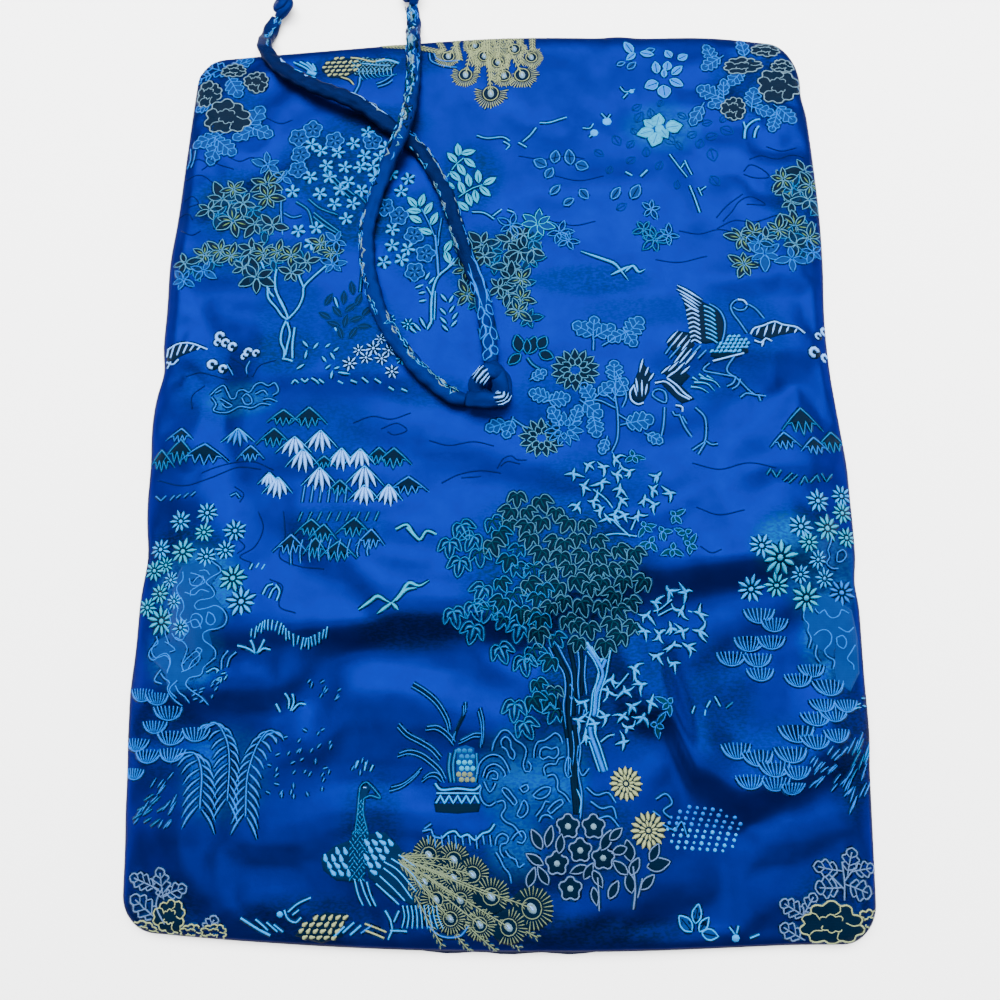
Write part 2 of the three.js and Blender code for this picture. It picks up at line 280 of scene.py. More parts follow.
# %% Make a mesh object from arrays
def mesh_piece(name, points, face_sets, material, slot):
    """Faces come as a list of arrays, each with its own number of corners."""
    face_sets = [np.asarray(faces, dtype=np.int32) for faces in face_sets if len(faces)]
    corners = np.concatenate([faces.ravel() for faces in face_sets])
    sizes = np.concatenate([np.full(len(faces), faces.shape[1], dtype=np.int32) for faces in face_sets])
    starts = np.concatenate([[0], np.cumsum(sizes)[:-1]]).astype(np.int32)
    mesh = bpy.data.meshes.new(name)
    mesh.vertices.add(len(points))
    mesh.vertices.foreach_set("co", (np.asarray(points) * MM).astype(np.float32).ravel())
    mesh.loops.add(len(corners))
    mesh.loops.foreach_set("vertex_index", corners)
    mesh.polygons.add(len(sizes))
    mesh.polygons.foreach_set("loop_start", starts)
    mesh.polygons.foreach_set("use_smooth", np.full(len(sizes), True))
    mesh.update(calc_edges=True)
    mesh.materials.append(material)
    piece = bpy.data.objects.new(name, mesh)
    bpy.context.collection.objects.link(piece)
    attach(piece, "root")
    print(name, len(points), "points", int((sizes - 2).sum()), "triangles")
    return piece


print("meshes are made from points in units of", MM, "metres")

# %% [markdown]
# ## Cloth finishes
# Satin shows its threads only as a fine grain, so its weave is a small repeating bump and a slight change
# of colour. That effect is shared by the ground, the figures and the lining, so it is a node group with a
# few named inputs. The shine itself stays in each material.

# %% Build the weave group
WEAVE_INPUTS = ("Across per metre", "Along per metre", "Patch size")
WEFT_SHARE = 0.6
SPECKS_PER_METRE = (850.0, 1800.0, 850.0)
SPECK_EDGES, SPECK_FLOOR = (0.43, 0.57), 0.35


def weave_group():
    """Fine crossed threads as a height, and two masks: broad patches and small specks."""
    group = bpy.data.node_groups.new("woven_grain", "ShaderNodeTree")
    for way, sockets in (("INPUT", WEAVE_INPUTS), ("OUTPUT", ("Height", "Patches", "Specks"))):
        for socket in sockets:
            group.interface.new_socket(socket, in_out=way, socket_type="NodeSocketFloat")
    nodes, links = group.nodes, group.links
    given = nodes.new("NodeGroupInput")
    made = nodes.new("NodeGroupOutput")
    place = nodes.new("ShaderNodeTexCoord")
    split = nodes.new("ShaderNodeSeparateXYZ")
    links.new(place.outputs["Object"], split.inputs[0])

    def waves(axis, rate):
        scaled = nodes.new("ShaderNodeMath")
        scaled.operation = "MULTIPLY"
        links.new(split.outputs[axis], scaled.inputs[0])
        links.new(given.outputs[rate], scaled.inputs[1])
        wave = nodes.new("ShaderNodeMath")
        wave.operation = "SINE"
        links.new(scaled.outputs[0], wave.inputs[0])
        return wave

    weft = waves("X", "Across per metre")
    warp = waves("Y", "Along per metre")
    crossed = nodes.new("ShaderNodeMath")
    crossed.operation = "MULTIPLY_ADD"
    links.new(weft.outputs[0], crossed.inputs[0])
    crossed.inputs[1].default_value = WEFT_SHARE
    links.new(warp.outputs[0], crossed.inputs[2])
    patches = nodes.new("ShaderNodeTexNoise")
    links.new(place.outputs["Object"], patches.inputs["Vector"])
    links.new(given.outputs["Patch size"], patches.inputs["Scale"])
    patches.inputs["Detail"].default_value = 5.0
    links.new(crossed.outputs[0], made.inputs["Height"])
    links.new(patches.outputs["Fac"], made.inputs["Patches"])
    drawn_out = nodes.new("ShaderNodeVectorMath")
    drawn_out.operation = "MULTIPLY"
    links.new(place.outputs["Object"], drawn_out.inputs[0])
    drawn_out.inputs[1].default_value = SPECKS_PER_METRE
    specks = nodes.new("ShaderNodeTexNoise")
    links.new(drawn_out.outputs[0], specks.inputs["Vector"])
    specks.inputs["Scale"].default_value = 1.0
    specks.inputs["Detail"].default_value = 2.0
    sharp = nodes.new("ShaderNodeMapRange")
    links.new(specks.outputs["Fac"], sharp.inputs["Value"])
    sharp.inputs["From Min"].default_value, sharp.inputs["From Max"].default_value = SPECK_EDGES
    sharp.inputs["To Min"].default_value = SPECK_FLOOR
    links.new(sharp.outputs[0], made.inputs["Specks"])
    return group


WOVEN_GRAIN = weave_group()
print("node group:", WOVEN_GRAIN.name)

# %% Mix cloth materials
SATIN_SPECULAR = 0.06
WEAR = 0.05
RELIEF = 0.04 * MM


def cloth_material(name, dark, light, roughness, metallic, weave, bump, tones=()):
    """A cloth whose colour drifts between two shades, with the woven grain as bump.
    Each tone names a painted value on the mesh and the colour it leads to."""
    material = bpy.data.materials.new(name)
    material.use_nodes = True
    nodes, links = material.node_tree.nodes, material.node_tree.links
    shader = nodes["Principled BSDF"]
    shader.inputs["Metallic"].default_value = metallic
    shader.inputs["Specular IOR Level"].default_value = SATIN_SPECULAR
    shader.inputs["Specular Tint"].default_value = (*[0.1 + 0.9 * value for value in light], 1)
    grain = nodes.new("ShaderNodeGroup")
    grain.node_tree = WOVEN_GRAIN
    for socket, value in zip(WEAVE_INPUTS, weave):
        grain.inputs[socket].default_value = value
    shade = nodes.new("ShaderNodeMix")
    shade.data_type = "RGBA"
    links.new(grain.outputs["Patches"], shade.inputs["Factor"])
    shade.inputs[6].default_value = (*dark, 1)
    shade.inputs[7].default_value = (*light, 1)
    for tone, colour in tones:
        painted = nodes.new("ShaderNodeAttribute")
        painted.attribute_name = tone
        toned = nodes.new("ShaderNodeMix")
        toned.data_type = "RGBA"
        speckled = nodes.new("ShaderNodeMath")
        speckled.operation = "MULTIPLY"
        links.new(painted.outputs["Fac"], speckled.inputs[0])
        links.new(grain.outputs["Specks"], speckled.inputs[1])
        links.new(speckled.outputs[0], toned.inputs["Factor"])
        links.new(shade.outputs[2], toned.inputs[6])
        toned.inputs[7].default_value = (*colour, 1)
        shade = toned
    links.new(shade.outputs[2], shader.inputs["Base Color"])
    worn = nodes.new("ShaderNodeMapRange")
    worn.inputs["To Min"].default_value = roughness - WEAR
    worn.inputs["To Max"].default_value = roughness + WEAR
    links.new(grain.outputs["Patches"], worn.inputs["Value"])
    links.new(worn.outputs[0], shader.inputs["Roughness"])
    relief = nodes.new("ShaderNodeBump")
    relief.inputs["Strength"].default_value = bump
    relief.inputs["Distance"].default_value = RELIEF
    links.new(grain.outputs["Height"], relief.inputs["Height"])
    links.new(relief.outputs[0], shader.inputs["Normal"])
    return material


FINE_WEAVE = (31000.0, 26000.0, 140.0)
TWISTED_THREAD = (9000.0, 9000.0, 400.0)
SATIN_DARK, SATIN_LIGHT = (0.0, 0.0019, 0.041), (0.0, 0.0048, 0.081)
TIE_DARK, TIE_LIGHT = (0.0, 0.0030, 0.034), (0.0, 0.0052, 0.054)
# Painted shade laid on the left tie strand, where its face turns away from the light.
STRAND_SHADE_COLOUR = (0.0, 0.0022, 0.019)
# The satin's thicket tone is woven ground behind the trees and, along the lower hem and the lower right fold,
# painted shade.
satin = cloth_material(
    "blue_satin", SATIN_DARK, SATIN_LIGHT, 0.40, 0.72, FINE_WEAVE, 0.12,
    tones=(("thicket_and_shade", (0.0, 0.0035, 0.017)), ("rock", (0.0, 0.018, 0.076))),
)
tie_satin = cloth_material(
    "tie_satin", TIE_DARK, TIE_LIGHT, 0.48, 0.4, FINE_WEAVE, 0.2, tones=(("strand_shade", STRAND_SHADE_COLOUR),)
)
LINING_DARK, LINING_LIGHT = (0.004, 0.006, 0.02), (0.008, 0.012, 0.035)
lining_cloth = cloth_material("dark_lining", LINING_DARK, LINING_LIGHT, 0.8, 0, FINE_WEAVE, 0.3)
print("cloth materials:", satin.name, tie_satin.name, lining_cloth.name)

# %% [markdown]
# ## The table and the light
# The roll lies on a plain pale table. One broad soft light stands beyond its upper end, as a window would,
# so that every fold's near side falls into shade. A weaker light hangs over the lower end, two low ones at
# the sides keep the hem blue, as pale walls would, and a pale surround fills the rest.

# %% Set the table and the light
floor_material = bpy.data.materials.new("pale_table")
floor_material.use_nodes = True
floor_shader = floor_material.node_tree.nodes["Principled BSDF"]
floor_shader.inputs["Base Color"].default_value = (0.86, 0.86, 0.86, 1)
floor_shader.inputs["Roughness"].default_value = 0.6
bpy.ops.mesh.primitive_plane_add(size=3, location=(0, 0, -0.0002))
floor = bpy.context.object
floor.name = "pale_table"
floor.data.materials.append(floor_material)


LIGHTS = [
    # name, place, what it looks at, width and height, watts
    ("window", (0, 0.45, 0.8), (0, 0.02, 0), (1.2, 0.6), 54),
    ("ceiling", (0.03, -0.30, 0.95), (0, -0.1, 0), (1.1, 0.5), 14),
    ("left_wall", (-0.85, 0, 0.24), (0, 0, 0), (1.0, 0.32), 11),
    ("right_wall", (0.85, 0, 0.24), (0, 0, 0), (1.0, 0.32), 11),
]
for name, place, aim, size, power in LIGHTS:
    data = bpy.data.lights.new(name, "AREA")
    data.shape = "RECTANGLE"
    data.size, data.size_y = size
    data.energy = power
    lamp = bpy.data.objects.new(name, data)
    bpy.context.collection.objects.link(lamp)
    lamp.location = place
    lamp.rotation_euler = (Vector(aim) - Vector(place)).to_track_quat("-Z", "Y").to_euler()
world = bpy.data.worlds.new("pale_room")
bpy.context.scene.world = world
world.use_nodes = True
surround = world.node_tree.nodes["Background"]
surround.inputs["Color"].default_value = (0.97, 0.98, 1.0, 1)
surround.inputs["Strength"].default_value = 0.27
print("lights:", [row[0] for row in LIGHTS])

# %% [markdown]
# ## The outer panel's face
# The brocade and its wadding are one soft wall. The face is a fine grid of points, lifted by the folds and
# rolled over at the stitched edge.

# %% Lay out the face
FACE_COLUMNS, FACE_ROWS = 190, 250


def edge_crowded(half, count):
    """Grid lines from edge to edge, closer together near both edges."""
    share = np.linspace(-1, 1, count)
    return half * (0.86 * share + 0.14 * np.sin(share * math.pi / 2))


grid_x = edge_crowded(HALF_WIDTH, FACE_COLUMNS)
grid_y = edge_crowded(HALF_LENGTH, FACE_ROWS)
flat_x, flat_y = np.meshgrid(grid_x, grid_y)
plan_x, plan_y = plan_point(flat_x, flat_y)
face = np.stack([plan_x, plan_y, face_height(flat_x, flat_y)], axis=-1)
print("face grid", face.shape)

# %% Close a sheet into a panel
def grid_quads(columns, rows, first=0, flip=False):
    index = first + np.arange(columns * rows).reshape(rows, columns)
    corners = [index[:-1, :-1], index[:-1, 1:], index[1:, 1:], index[1:, :-1]]
    quads = np.stack(corners, axis=-1).reshape(-1, 4)
    return quads[:, ::-1] if flip else quads


def rim_loop(columns, rows):
    index = np.arange(columns * rows).reshape(rows, columns)
    return np.concatenate([index[0, :-1], index[:-1, -1], index[-1, :0:-1], index[:0:-1, 0]])


def closed_panel(top, bottom):
    rows, columns = top.shape[:2]
    rim = rim_loop(columns, rows)
    following = np.roll(rim, -1)
    layer = rows * columns
    sides = np.stack([rim, rim + layer, following + layer, following], axis=1)
    quads = np.vstack([grid_quads(columns, rows), grid_quads(columns, rows, layer, True), sides])
    return np.vstack([top.reshape(-1, 3), bottom.reshape(-1, 3)]), [quads]


print("points round the rim:", len(rim_loop(FACE_COLUMNS, FACE_ROWS)))

# %% [markdown]
# ## Letting the cloth settle
# Charted folds alone look too smooth. A face that is cut longer than its lining buckles, first along the
# stitched edges. So the face is given to Blender's cloth solver, cut a little too long, with its edge held
# and its inside held only softly. It buckles for a few frames, and what it moved is added to the charted
# face, with a cap. Under the tie the cloth is pressed flat.

# %% Run the cloth solver
SETTLE_COLUMNS, SETTLE_ROWS, SETTLE_FRAMES = 96, 128, 24
SETTLE_SCALE = 0.01
EXTRA_LENGTH, EXTRA_ALL_ROUND = 1.016, 0.004
SINK_CAP, RISE_CAP = 1.3, 2.2
RIPPLES, RIPPLE_HEIGHT, RIPPLE_SWAY = 40, 0.05, 1.5
HELD_EDGE, INNER_HOLD, EDGE_FADE = 2.5, 0.1, 6.0
PRESS_REACH, PRESS_HALF, PRESS_LIFT, PRESS_SLOPE = 7.0, 3.0, 0.25, 0.2


def settled(points, cut, hold):
    """Where the solver takes a laid cloth that was cut to another size, with its held points pinned."""
    rows, columns = points.shape[:2]
    mesh = bpy.data.meshes.new("settling_cloth")
    laid_points = (points * SETTLE_SCALE).reshape(-1, 3)
    mesh.from_pydata(laid_points.tolist(), [], grid_quads(columns, rows).tolist())
    cloth = bpy.data.objects.new("settling_cloth", mesh)
    bpy.context.collection.objects.link(cloth)
    cloth.shape_key_add(name="laid")
    longer = cloth.shape_key_add(name="cut")
    longer.data.foreach_set("co", (cut * SETTLE_SCALE).astype(np.float32).ravel())
    held = cloth.vertex_groups.new(name="held")
    for index, weight in enumerate(hold.ravel()):
        held.add([index], float(weight), "REPLACE")
    modifier = cloth.modifiers.new("settle", "CLOTH")
    settings = modifier.settings
    settings.quality = 5
    settings.mass = 0.15
    settings.tension_stiffness = 40
    settings.compression_stiffness = 40
    settings.shear_stiffness = 8
    settings.bending_stiffness = 0.5
    settings.vertex_group_mass = "held"
    settings.pin_stiffness = 1.0
    settings.effector_weights.gravity = 0
    settings.rest_shape_key = longer
    settings.shrink_min = -EXTRA_ALL_ROUND
    modifier.collision_settings.use_collision = False
    scene = bpy.context.scene
    for number in range(1, SETTLE_FRAMES + 1):
        scene.frame_set(number)
    shaped = cloth.evaluated_get(bpy.context.evaluated_depsgraph_get())
    moved = np.empty(rows * columns * 3, dtype=np.float32)
    shaped.data.vertices.foreach_get("co", moved)
    scene.frame_set(1)
    bpy.data.objects.remove(cloth)
    bpy.data.meshes.remove(mesh)
    return moved.reshape(rows, columns, 3) / SETTLE_SCALE


print("the solver runs for", SETTLE_FRAMES, "frames")

# %% Settle the face
def spread_to_face(field, coarse_x, coarse_y):
    """A coarse field on the face's fine grid."""
    across = np.stack([np.interp(grid_x, coarse_x, row) for row in field])
    return np.stack([np.interp(grid_y, coarse_y, column) for column in across.T], axis=1)


def settle_face():
    """How far settling moves each point of the face up or down."""
    seeds = np.random.default_rng(5)
    coarse_x = np.linspace(-HALF_WIDTH, HALF_WIDTH, SETTLE_COLUMNS)
    coarse_y = np.linspace(-HALF_LENGTH, HALF_LENGTH, SETTLE_ROWS)
    laid_x, laid_y = np.meshgrid(coarse_x, coarse_y)
    laid = np.stack([*plan_point(laid_x, laid_y), face_height(laid_x, laid_y)], axis=-1)
    ripple = np.zeros(laid.shape[:2])
    for _ in range(RIPPLES):
        lean, pace, phase = seeds.normal(0, 0.25), seeds.uniform(0.16, 0.42), seeds.uniform(0, 2 * math.pi)
        sway = RIPPLE_SWAY * np.sin(laid_x * seeds.uniform(0.02, 0.06))
        ripple += RIPPLE_HEIGHT * np.sin(pace * (laid_y + lean * laid_x) + phase + sway)
    laid[..., 2] += ripple
    inside = inside_edge(laid_x, laid_y)
    hold = np.where(inside < HELD_EDGE, 1.0, INNER_HOLD)
    moved = settled(laid, laid * (1, EXTRA_LENGTH, 1), hold) - laid
    lift = moved[..., 2] + ripple
    cap = np.where(lift < 0, SINK_CAP, RISE_CAP)
    lively = np.maximum(smooth_step((np.abs(laid_x) - 50) / 45), smooth_step((24 - laid_y) / 60))
    lift = cap * np.tanh(lift / cap) * smooth_step(inside / EDGE_FADE) * (0.4 + 0.7 * lively)
    pressed = np.full(lift.shape, np.inf)
    for route in (left_route, right_route):
        for x, y, _ in route[::3]:
            pressed = np.minimum(pressed, np.hypot(laid[..., 0] - x, laid[..., 1] - y))
    room = PRESS_LIFT + PRESS_SLOPE * np.maximum(pressed - PRESS_HALF, 0)
    lift = np.where(pressed < PRESS_REACH, np.minimum(lift, room), lift)
    print("settling moved the face, mm:", np.round(np.percentile(lift, [0, 5, 50, 95, 100]), 2))
    return spread_to_face(lift, coarse_x, coarse_y)


face[..., 2] += settle_face()

# %% Build the outer panel
underside = face.copy()
underside[..., 2] = np.maximum(FACE_BASE, face[..., 2] - WALL)
outer_panel = mesh_piece("brocade_panel", *closed_panel(face, underside), satin, "brocade")
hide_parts("outer_panel")

# %% [markdown]
# ## The lining
# The lining lies flat under the panel and shows only as a dark line along the lower hem, where it is let
# out a little below the face.

# %% Build the lining
LINING_INSET = 0.5
LINING_COLUMNS, LINING_ROWS = 60, 80
LET_OUT_MIDDLE, LET_OUT_REACH, LET_OUT_DEPTH = 4.0, 36.0, 1.3
lining_x, lining_y = np.meshgrid(
    edge_crowded(HALF_WIDTH, LINING_COLUMNS), edge_crowded(HALF_LENGTH, LINING_ROWS)
)
lining_plan_x, lining_plan_y = plan_point(lining_x, lining_y)
lining_top = np.stack(
    [
        lining_plan_x * (1 - LINING_INSET / HALF_WIDTH),
        lining_plan_y * (1 - LINING_INSET / HALF_LENGTH),
        np.full_like(lining_plan_x, LINING_THICK),
    ],
    axis=-1,
)
# The lining's lower edge is let out below the face's hem near the middle, with a slight wobble.
from_let_out_middle = (lining_top[..., 0] - LET_OUT_MIDDLE) / LET_OUT_REACH
let_out = np.exp(-(from_let_out_middle**6)) * (1 + 0.2 * np.sin(lining_top[..., 0] * 0.37))
lining_top[..., 1] -= LET_OUT_DEPTH * let_out * np.maximum(-lining_y / HALF_LENGTH, 0) ** 20
lining_bottom = lining_top * (1, 1, 0)
lining = mesh_piece("lining_cloth", *closed_panel(lining_top, lining_bottom), lining_cloth, "lining")
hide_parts("lining_panel")

# %% [markdown]
# ## Drawing with thread
# In a brocade each figure is drawn by extra coloured threads that float over the satin. The garden could be
# one painted image. Here it is charted instead, as lines and small filled shapes in millimetres on the open
# cloth, so that every thread is a real raised ridge that follows the folds and catches the light. A nearer
# leaf hides what was drawn before it, as the weaver's own cartoon does.

# %% Lay threads and fillings on the chart
RUN_STEP = 0.6
RECALL = 260
FILL_STEP = 1.2
POINTED = ("leaf", "petal", "blade")
thread_runs = {}
thread_fills = {}
chance = np.random.default_rng(11)


def closed(points):
    return np.vstack([points, points[:1]])


def straight(points, spacing):
    line = [points[:1]]
    for start, end in zip(points, points[1:]):
        count = max(math.ceil(np.linalg.norm(end - start) / spacing), 1)
        line.append(start + (end - start) * (np.arange(1, count + 1)[:, None] / count))
    return np.vstack(line)


def lay(thread, line, half):
    box = (*line.min(axis=0), *line.max(axis=0))
    thread_runs.setdefault(thread, []).append((line, half, box))


def sew(thread, points, width=0.55, shape="even", curved=True):
    """One thread through the points. A tail thins out, a leaf and a blade thin at both ends, and a petal is
    broad near its tip."""
    points = np.asarray(points, dtype=float)
    spacing = RUN_STEP
    if shape in POINTED:
        spacing = min(RUN_STEP, np.linalg.norm(np.diff(points, axis=0), axis=1).sum() / 5)
    if curved and len(points) > 2:
        line = through_points(points, spacing)
    else:
        line = straight(points, spacing)
    share = np.linspace(0, 1, len(line))
    profile = {
        "even": np.ones_like(share),
        "tail": 1 - 0.75 * share,
        "leaf": np.interp(share, [0, 0.25, 0.6, 1], [0.3, 0.9, 1, 0.15]),
        "petal": np.interp(share, [0, 0.7, 0.92, 1], [0.35, 1, 0.8, 0.35]),
        "blade": np.interp(share, [0, 0.3, 1], [0.55, 1, 0.12]),
    }[shape]
    lay(thread, line, width / 2 * (1.0 if shape in POINTED else 0.9) * profile)


def sew_chart(text):
    """Sew the lines of a chart. The first line of each kind starts with its thread, its width and a colon."""
    for row in text.split(";"):
        if ":" in row:
            kind, row = row.split(":")
            thread, width = kind.split()
        sew(thread, strokes(row)[0], float(width))


def fill(thread, outline):
    """A flat filling inside a closed outline that bulges about its middle."""
    outline = np.asarray(outline, dtype=float)
    thread_fills.setdefault(thread, []).append(straight(closed(outline), FILL_STEP)[:-1])


print("threads can be sewn, and shapes filled")

# %% Hide what lies under a leaf
def within(outline, points):
    """Which points lie inside a closed outline, by counting crossings."""
    x, y = np.asarray(points, dtype=float).T
    inside = np.zeros(len(x), dtype=bool)
    for (x1, y1), (x2, y2) in zip(outline, np.roll(outline, -1, axis=0)):
        if y1 != y2:
            inside ^= ((y1 > y) != (y2 > y)) & (x < x1 + (y - y1) * (x2 - x1) / (y2 - y1))
    return inside


def stretches(kept):
    """First and last places of every run of true values."""
    edges = np.flatnonzero(np.diff(np.concatenate([[0], kept.astype(int), [0]])))
    return zip(edges[::2], edges[1::2])


def cover(outline):
    """Take away the threads laid before inside an outline, as a nearer leaf hides a farther one."""
    left, low = np.min(outline, axis=0)
    right, high = np.max(outline, axis=0)
    for runs in thread_runs.values():
        seen = []
        for run in runs[-RECALL:]:
            line, half, box = run
            if box[2] < left or box[0] > right or box[3] < low or box[1] > high:
                seen.append(run)
                continue
            for start, stop in stretches(~within(outline, line)):
                if stop - start > 1:
                    seen.append((line[start:stop], half[start:stop], box))
        runs[-RECALL:] = seen


print("a leaf hides up to", RECALL, "runs of each thread")

# %% Turn and place small drawings
def turned(points, turn, place, scale=(1, 1)):
    """Points of a small drawing that looks along +X, scaled, turned and put in place."""
    angle = math.radians(turn)
    points = np.asarray(points, dtype=float) * scale
    x = points[:, 0] * math.cos(angle) - points[:, 1] * math.sin(angle)
    y = points[:, 0] * math.sin(angle) + points[:, 1] * math.cos(angle)
    return np.stack([x, y], axis=1) + place


def polar(radii, angles):
    return np.stack([radii * np.cos(angles), radii * np.sin(angles)], axis=1)


def disc(place, radius, corners=12):
    return polar(np.full(corners, radius), np.arange(corners) * 2 * math.pi / corners) + place


print("corners of a disc:", len(disc((0, 0), 1)))

# %% [markdown]
# ## Leaves and flowers
# The weaver's garden uses only a few forms again and again: pointed leaves, plum blossom, daisies, star-
# shaped maple leaves, ivy, bamboo and pine. Each form is a short function, so that a chart row only needs
# its place, its size and the way it points.

# %% Define leaves
LEAF_SIDE = np.array([(0, 0), (0.12, 0.5), (0.32, 0.92), (0.55, 0.95), (0.8, 0.55), (1, 0)])
LEAF_OUTLINE = np.vstack([LEAF_SIDE, LEAF_SIDE[-2:0:-1] * (1, -1)]) - (0.5, 0)


def filled(thread, outline):
    """A filling that hides what lies under it."""
    cover(outline)
    fill(thread, outline)


def leaf(place, length, width, turn, line, inner=None, vein=None, line_width=0.48):
    outline = turned(LEAF_OUTLINE, turn, place, (length, width / 2))
    if inner:
        filled(inner, outline)
    if line:
        sew(line, closed(outline), line_width)
    if vein:
        sew(vein, turned([(-0.45, 0), (0.3, 0)], turn, place, (length, 1)), 0.4)


def rosette(place, radius, leaves, turn, line, inner, rib=None):
    """Pointed leaves round one middle, each with a paler rib."""
    for number in range(leaves):
        way = turn + 360 * number / leaves + 7 * chance.normal()
        reach = radius * (1.0 if number % 2 else 0.8) * chance.uniform(0.9, 1.12)
        middle = turned([(reach * 0.56, 0)], way, place)[0]
        leaf(middle, reach * 0.98, reach * 0.46, way, line, inner, None, 0.46)
        if rib:
            sew(rib, turned([(-0.4, 0), (0.1, 0)], way, middle, (reach * 0.92, 1)), 0.5, "leaf")


print("corners of a pointed leaf:", len(LEAF_OUTLINE))

# %% Define lobed leaves
def lobed_leaf(place, length, width, turn, line, lobes=3, inner="haze"):
    """An outline with round lobes along both sides, a midrib and a vein to each lobe."""
    share = np.linspace(0, 1, 14 * lobes + 1)
    swell = np.sin(math.pi * (0.08 + 0.9 * share)) ** 0.7
    lobes += 1
    lean = np.mod(lobes * share, 1) ** 1.5
    ripple = 0.55 + 0.45 * np.sin(math.pi * lean) ** 0.8
    side = np.stack([share - 0.5, swell * ripple], axis=1)
    outline = np.vstack([side, side[-2:0:-1] * (1, -1)])
    outline = turned(outline, turn, place, (length, width / 2))
    if inner:
        filled(inner, outline)
    sew(line, closed(outline[::2]), 0.55)
    sew(line, turned([(-0.75, 0), (-0.3, 0.02), (0.32, 0)], turn, place, (length, width)), 0.5)
    for number in range(1, lobes):
        root = number / lobes - 0.62
        for side_sign in (-1, 1):
            tip = (root + 0.16, side_sign * 0.3)
            sew(line, turned([(root, 0), tip], turn, place, (length, width)), 0.42)


print("lobed leaves are defined")

# %% Define maple and ivy leaves
MAPLE_TIPS = ((-66, 1.0), (64, 1.0), (-4, 0.8), (172, 0.55))


def star_leaf(place, radius, turn, thread, solid=True):
    """A maple leaf of narrow points, two of them long, solid or only outlined."""
    cover(disc(place, radius * 0.5))
    for way, share in MAPLE_TIPS:
        reach = radius * share * chance.uniform(0.75, 1.2)
        lean = turn + way + 13 * chance.normal()
        if solid:
            bow = 0.12 * reach * chance.normal()
            sew(thread, turned([(-0.2, 0), (reach * 0.5, bow), (reach, 0)], lean, place), 1.1, "blade")
        else:
            leaf(turned([(reach * 0.5, 0)], lean, place)[0], reach, 1.5, lean, thread, "moss", None, 0.4)


IVY_OUTLINE = strokes("""
0 0.6 -0.4 0.92 -0.84 0.74 -1.1 0.2 -1.22 -0.5 -0.84 -0.3 -0.5 0 -0.42 -0.6 0 -1.28 0.42 -0.6 0.5 0 0.84 -0.3
1.22 -0.5 1.1 0.2 0.84 0.74 0.4 0.92
""")[0]


def ivy_leaf(place, radius, turn, line, inner, rib):
    """A leaf of three lobes that hang from its top, with a rib to each."""
    outline = through_points(closed(turned(IVY_OUTLINE, turn, place, (radius, radius))), 0.5)[:-1]
    if inner:
        filled(inner, outline)
    sew(line, closed(outline), 0.46)
    for tip in ((-0.8, -0.1), (0, -0.8), (0.8, -0.1)):
        lobe = [(0, 0.5), (tip[0] * 0.7, 0.36), tip]
        sew(rib, turned(lobe, turn, place, (radius, radius)), radius * 0.3, "leaf")


print("points of a maple leaf:", len(MAPLE_TIPS), "corners of an ivy leaf:", len(IVY_OUTLINE))

# %% Define flowers
def ring_flower(place, radius, thread, petals=5, turn=90, inner="haze", rays=True):
    angles = np.linspace(0, 2 * math.pi, 10 * petals, endpoint=False)
    radii = radius * (0.56 + 0.44 * np.abs(np.cos(petals * angles / 2)) ** 0.6)
    outline = turned(polar(radii, angles), turn, place)
    filled(inner, outline)
    sew(thread, closed(outline[::2]), 0.6)
    for number in range(petals if rays else 0):
        way = turn + 360 * (number + 0.5) / petals
        sew("ink", turned([(radius * 0.2, 0), (radius * 0.62, 0)], way, place), 0.5, "leaf")
        sew(thread, turned([(radius * 0.15, 0), (radius * 0.55, 0)], way + 180 / petals, place), 0.4, "leaf")


def blossom(place, radius, thread, turn, petals=5):
    for number in range(petals):
        way = turn + 360 * number / petals
        sew(thread, turned([(radius * 0.12, 0), (radius, 0)], way, place), radius * 0.6, "petal")


def daisy(place, radius, thread, turn, rays=10):
    filled("ink", disc(place, radius * 0.55))
    for number in range(rays):
        way = turn + 360 * number / rays
        reach = radius * (1.0 if number % 2 else 0.9)
        sew(thread, turned([(radius * 0.3, 0), (reach, 0)], way, place), 0.26 * radius, "leaf")
    fill(thread, disc(place, radius * 0.17, 8))


print("outlined flowers, blossom and daisies are defined")

# %% Define peonies
def petal(place, length, width, turn, line, inner, lobes=3):
    """A peony petal with a scalloped outer edge."""
    angles = np.linspace(-math.pi, math.pi, 36, endpoint=False)
    front = np.clip(np.cos(angles) + 0.35, 0, 1)
    radii = 1 - 0.26 * front * np.abs(np.sin(lobes * angles))
    outline = turned(polar(radii, angles), turn, place, (length / 2, width / 2))
    filled(inner, outline)
    tip = [number for number, angle in enumerate(angles) if math.cos(angle) > -0.55]
    sew(line, outline[tip][::2], 0.6)
    sew(line, turned([(-0.3, -0.2), (0.05, -0.12), (0.3, -0.22)], turn, place, (length / 2, width)), 0.36)
    sew(line, turned([(-0.3, 0.2), (0.05, 0.12), (0.3, 0.22)], turn, place, (length / 2, width)), 0.36)


def peony(place, across, along, line):
    """A dark open flower with a scalloped pale edge and scalloped petals inside it."""
    angles = np.linspace(0, 2 * math.pi, 60, endpoint=False)
    lobes = 0.84 + 0.16 * np.abs(np.sin(5 * angles)) ** 0.7 + 0.06 * np.sin(3 * angles + place[0])
    outline = polar(lobes, angles) * (across, along) + place
    filled("ink", outline)
    sew(line, closed(outline[::2]), 0.6)
    for first, share in ((0.5, 0.46), (3.4, 0.4)):
        arc = np.linspace(first, first + 2.2, 12)
        bumps = share * (0.75 + 0.25 * np.abs(np.sin(4 * (arc - first))))
        sew(line, polar(bumps, arc) * (across, along) + place, 0.42)
    for way in np.arange(5) * 0.4 * math.pi:
        cleft = polar(np.array([0.42, 0.66, 0.86]), np.array([way + 0.16, way - 0.1, way]))
        sew(line, cleft * (across, along) + place, 0.4)


print("peonies are defined")

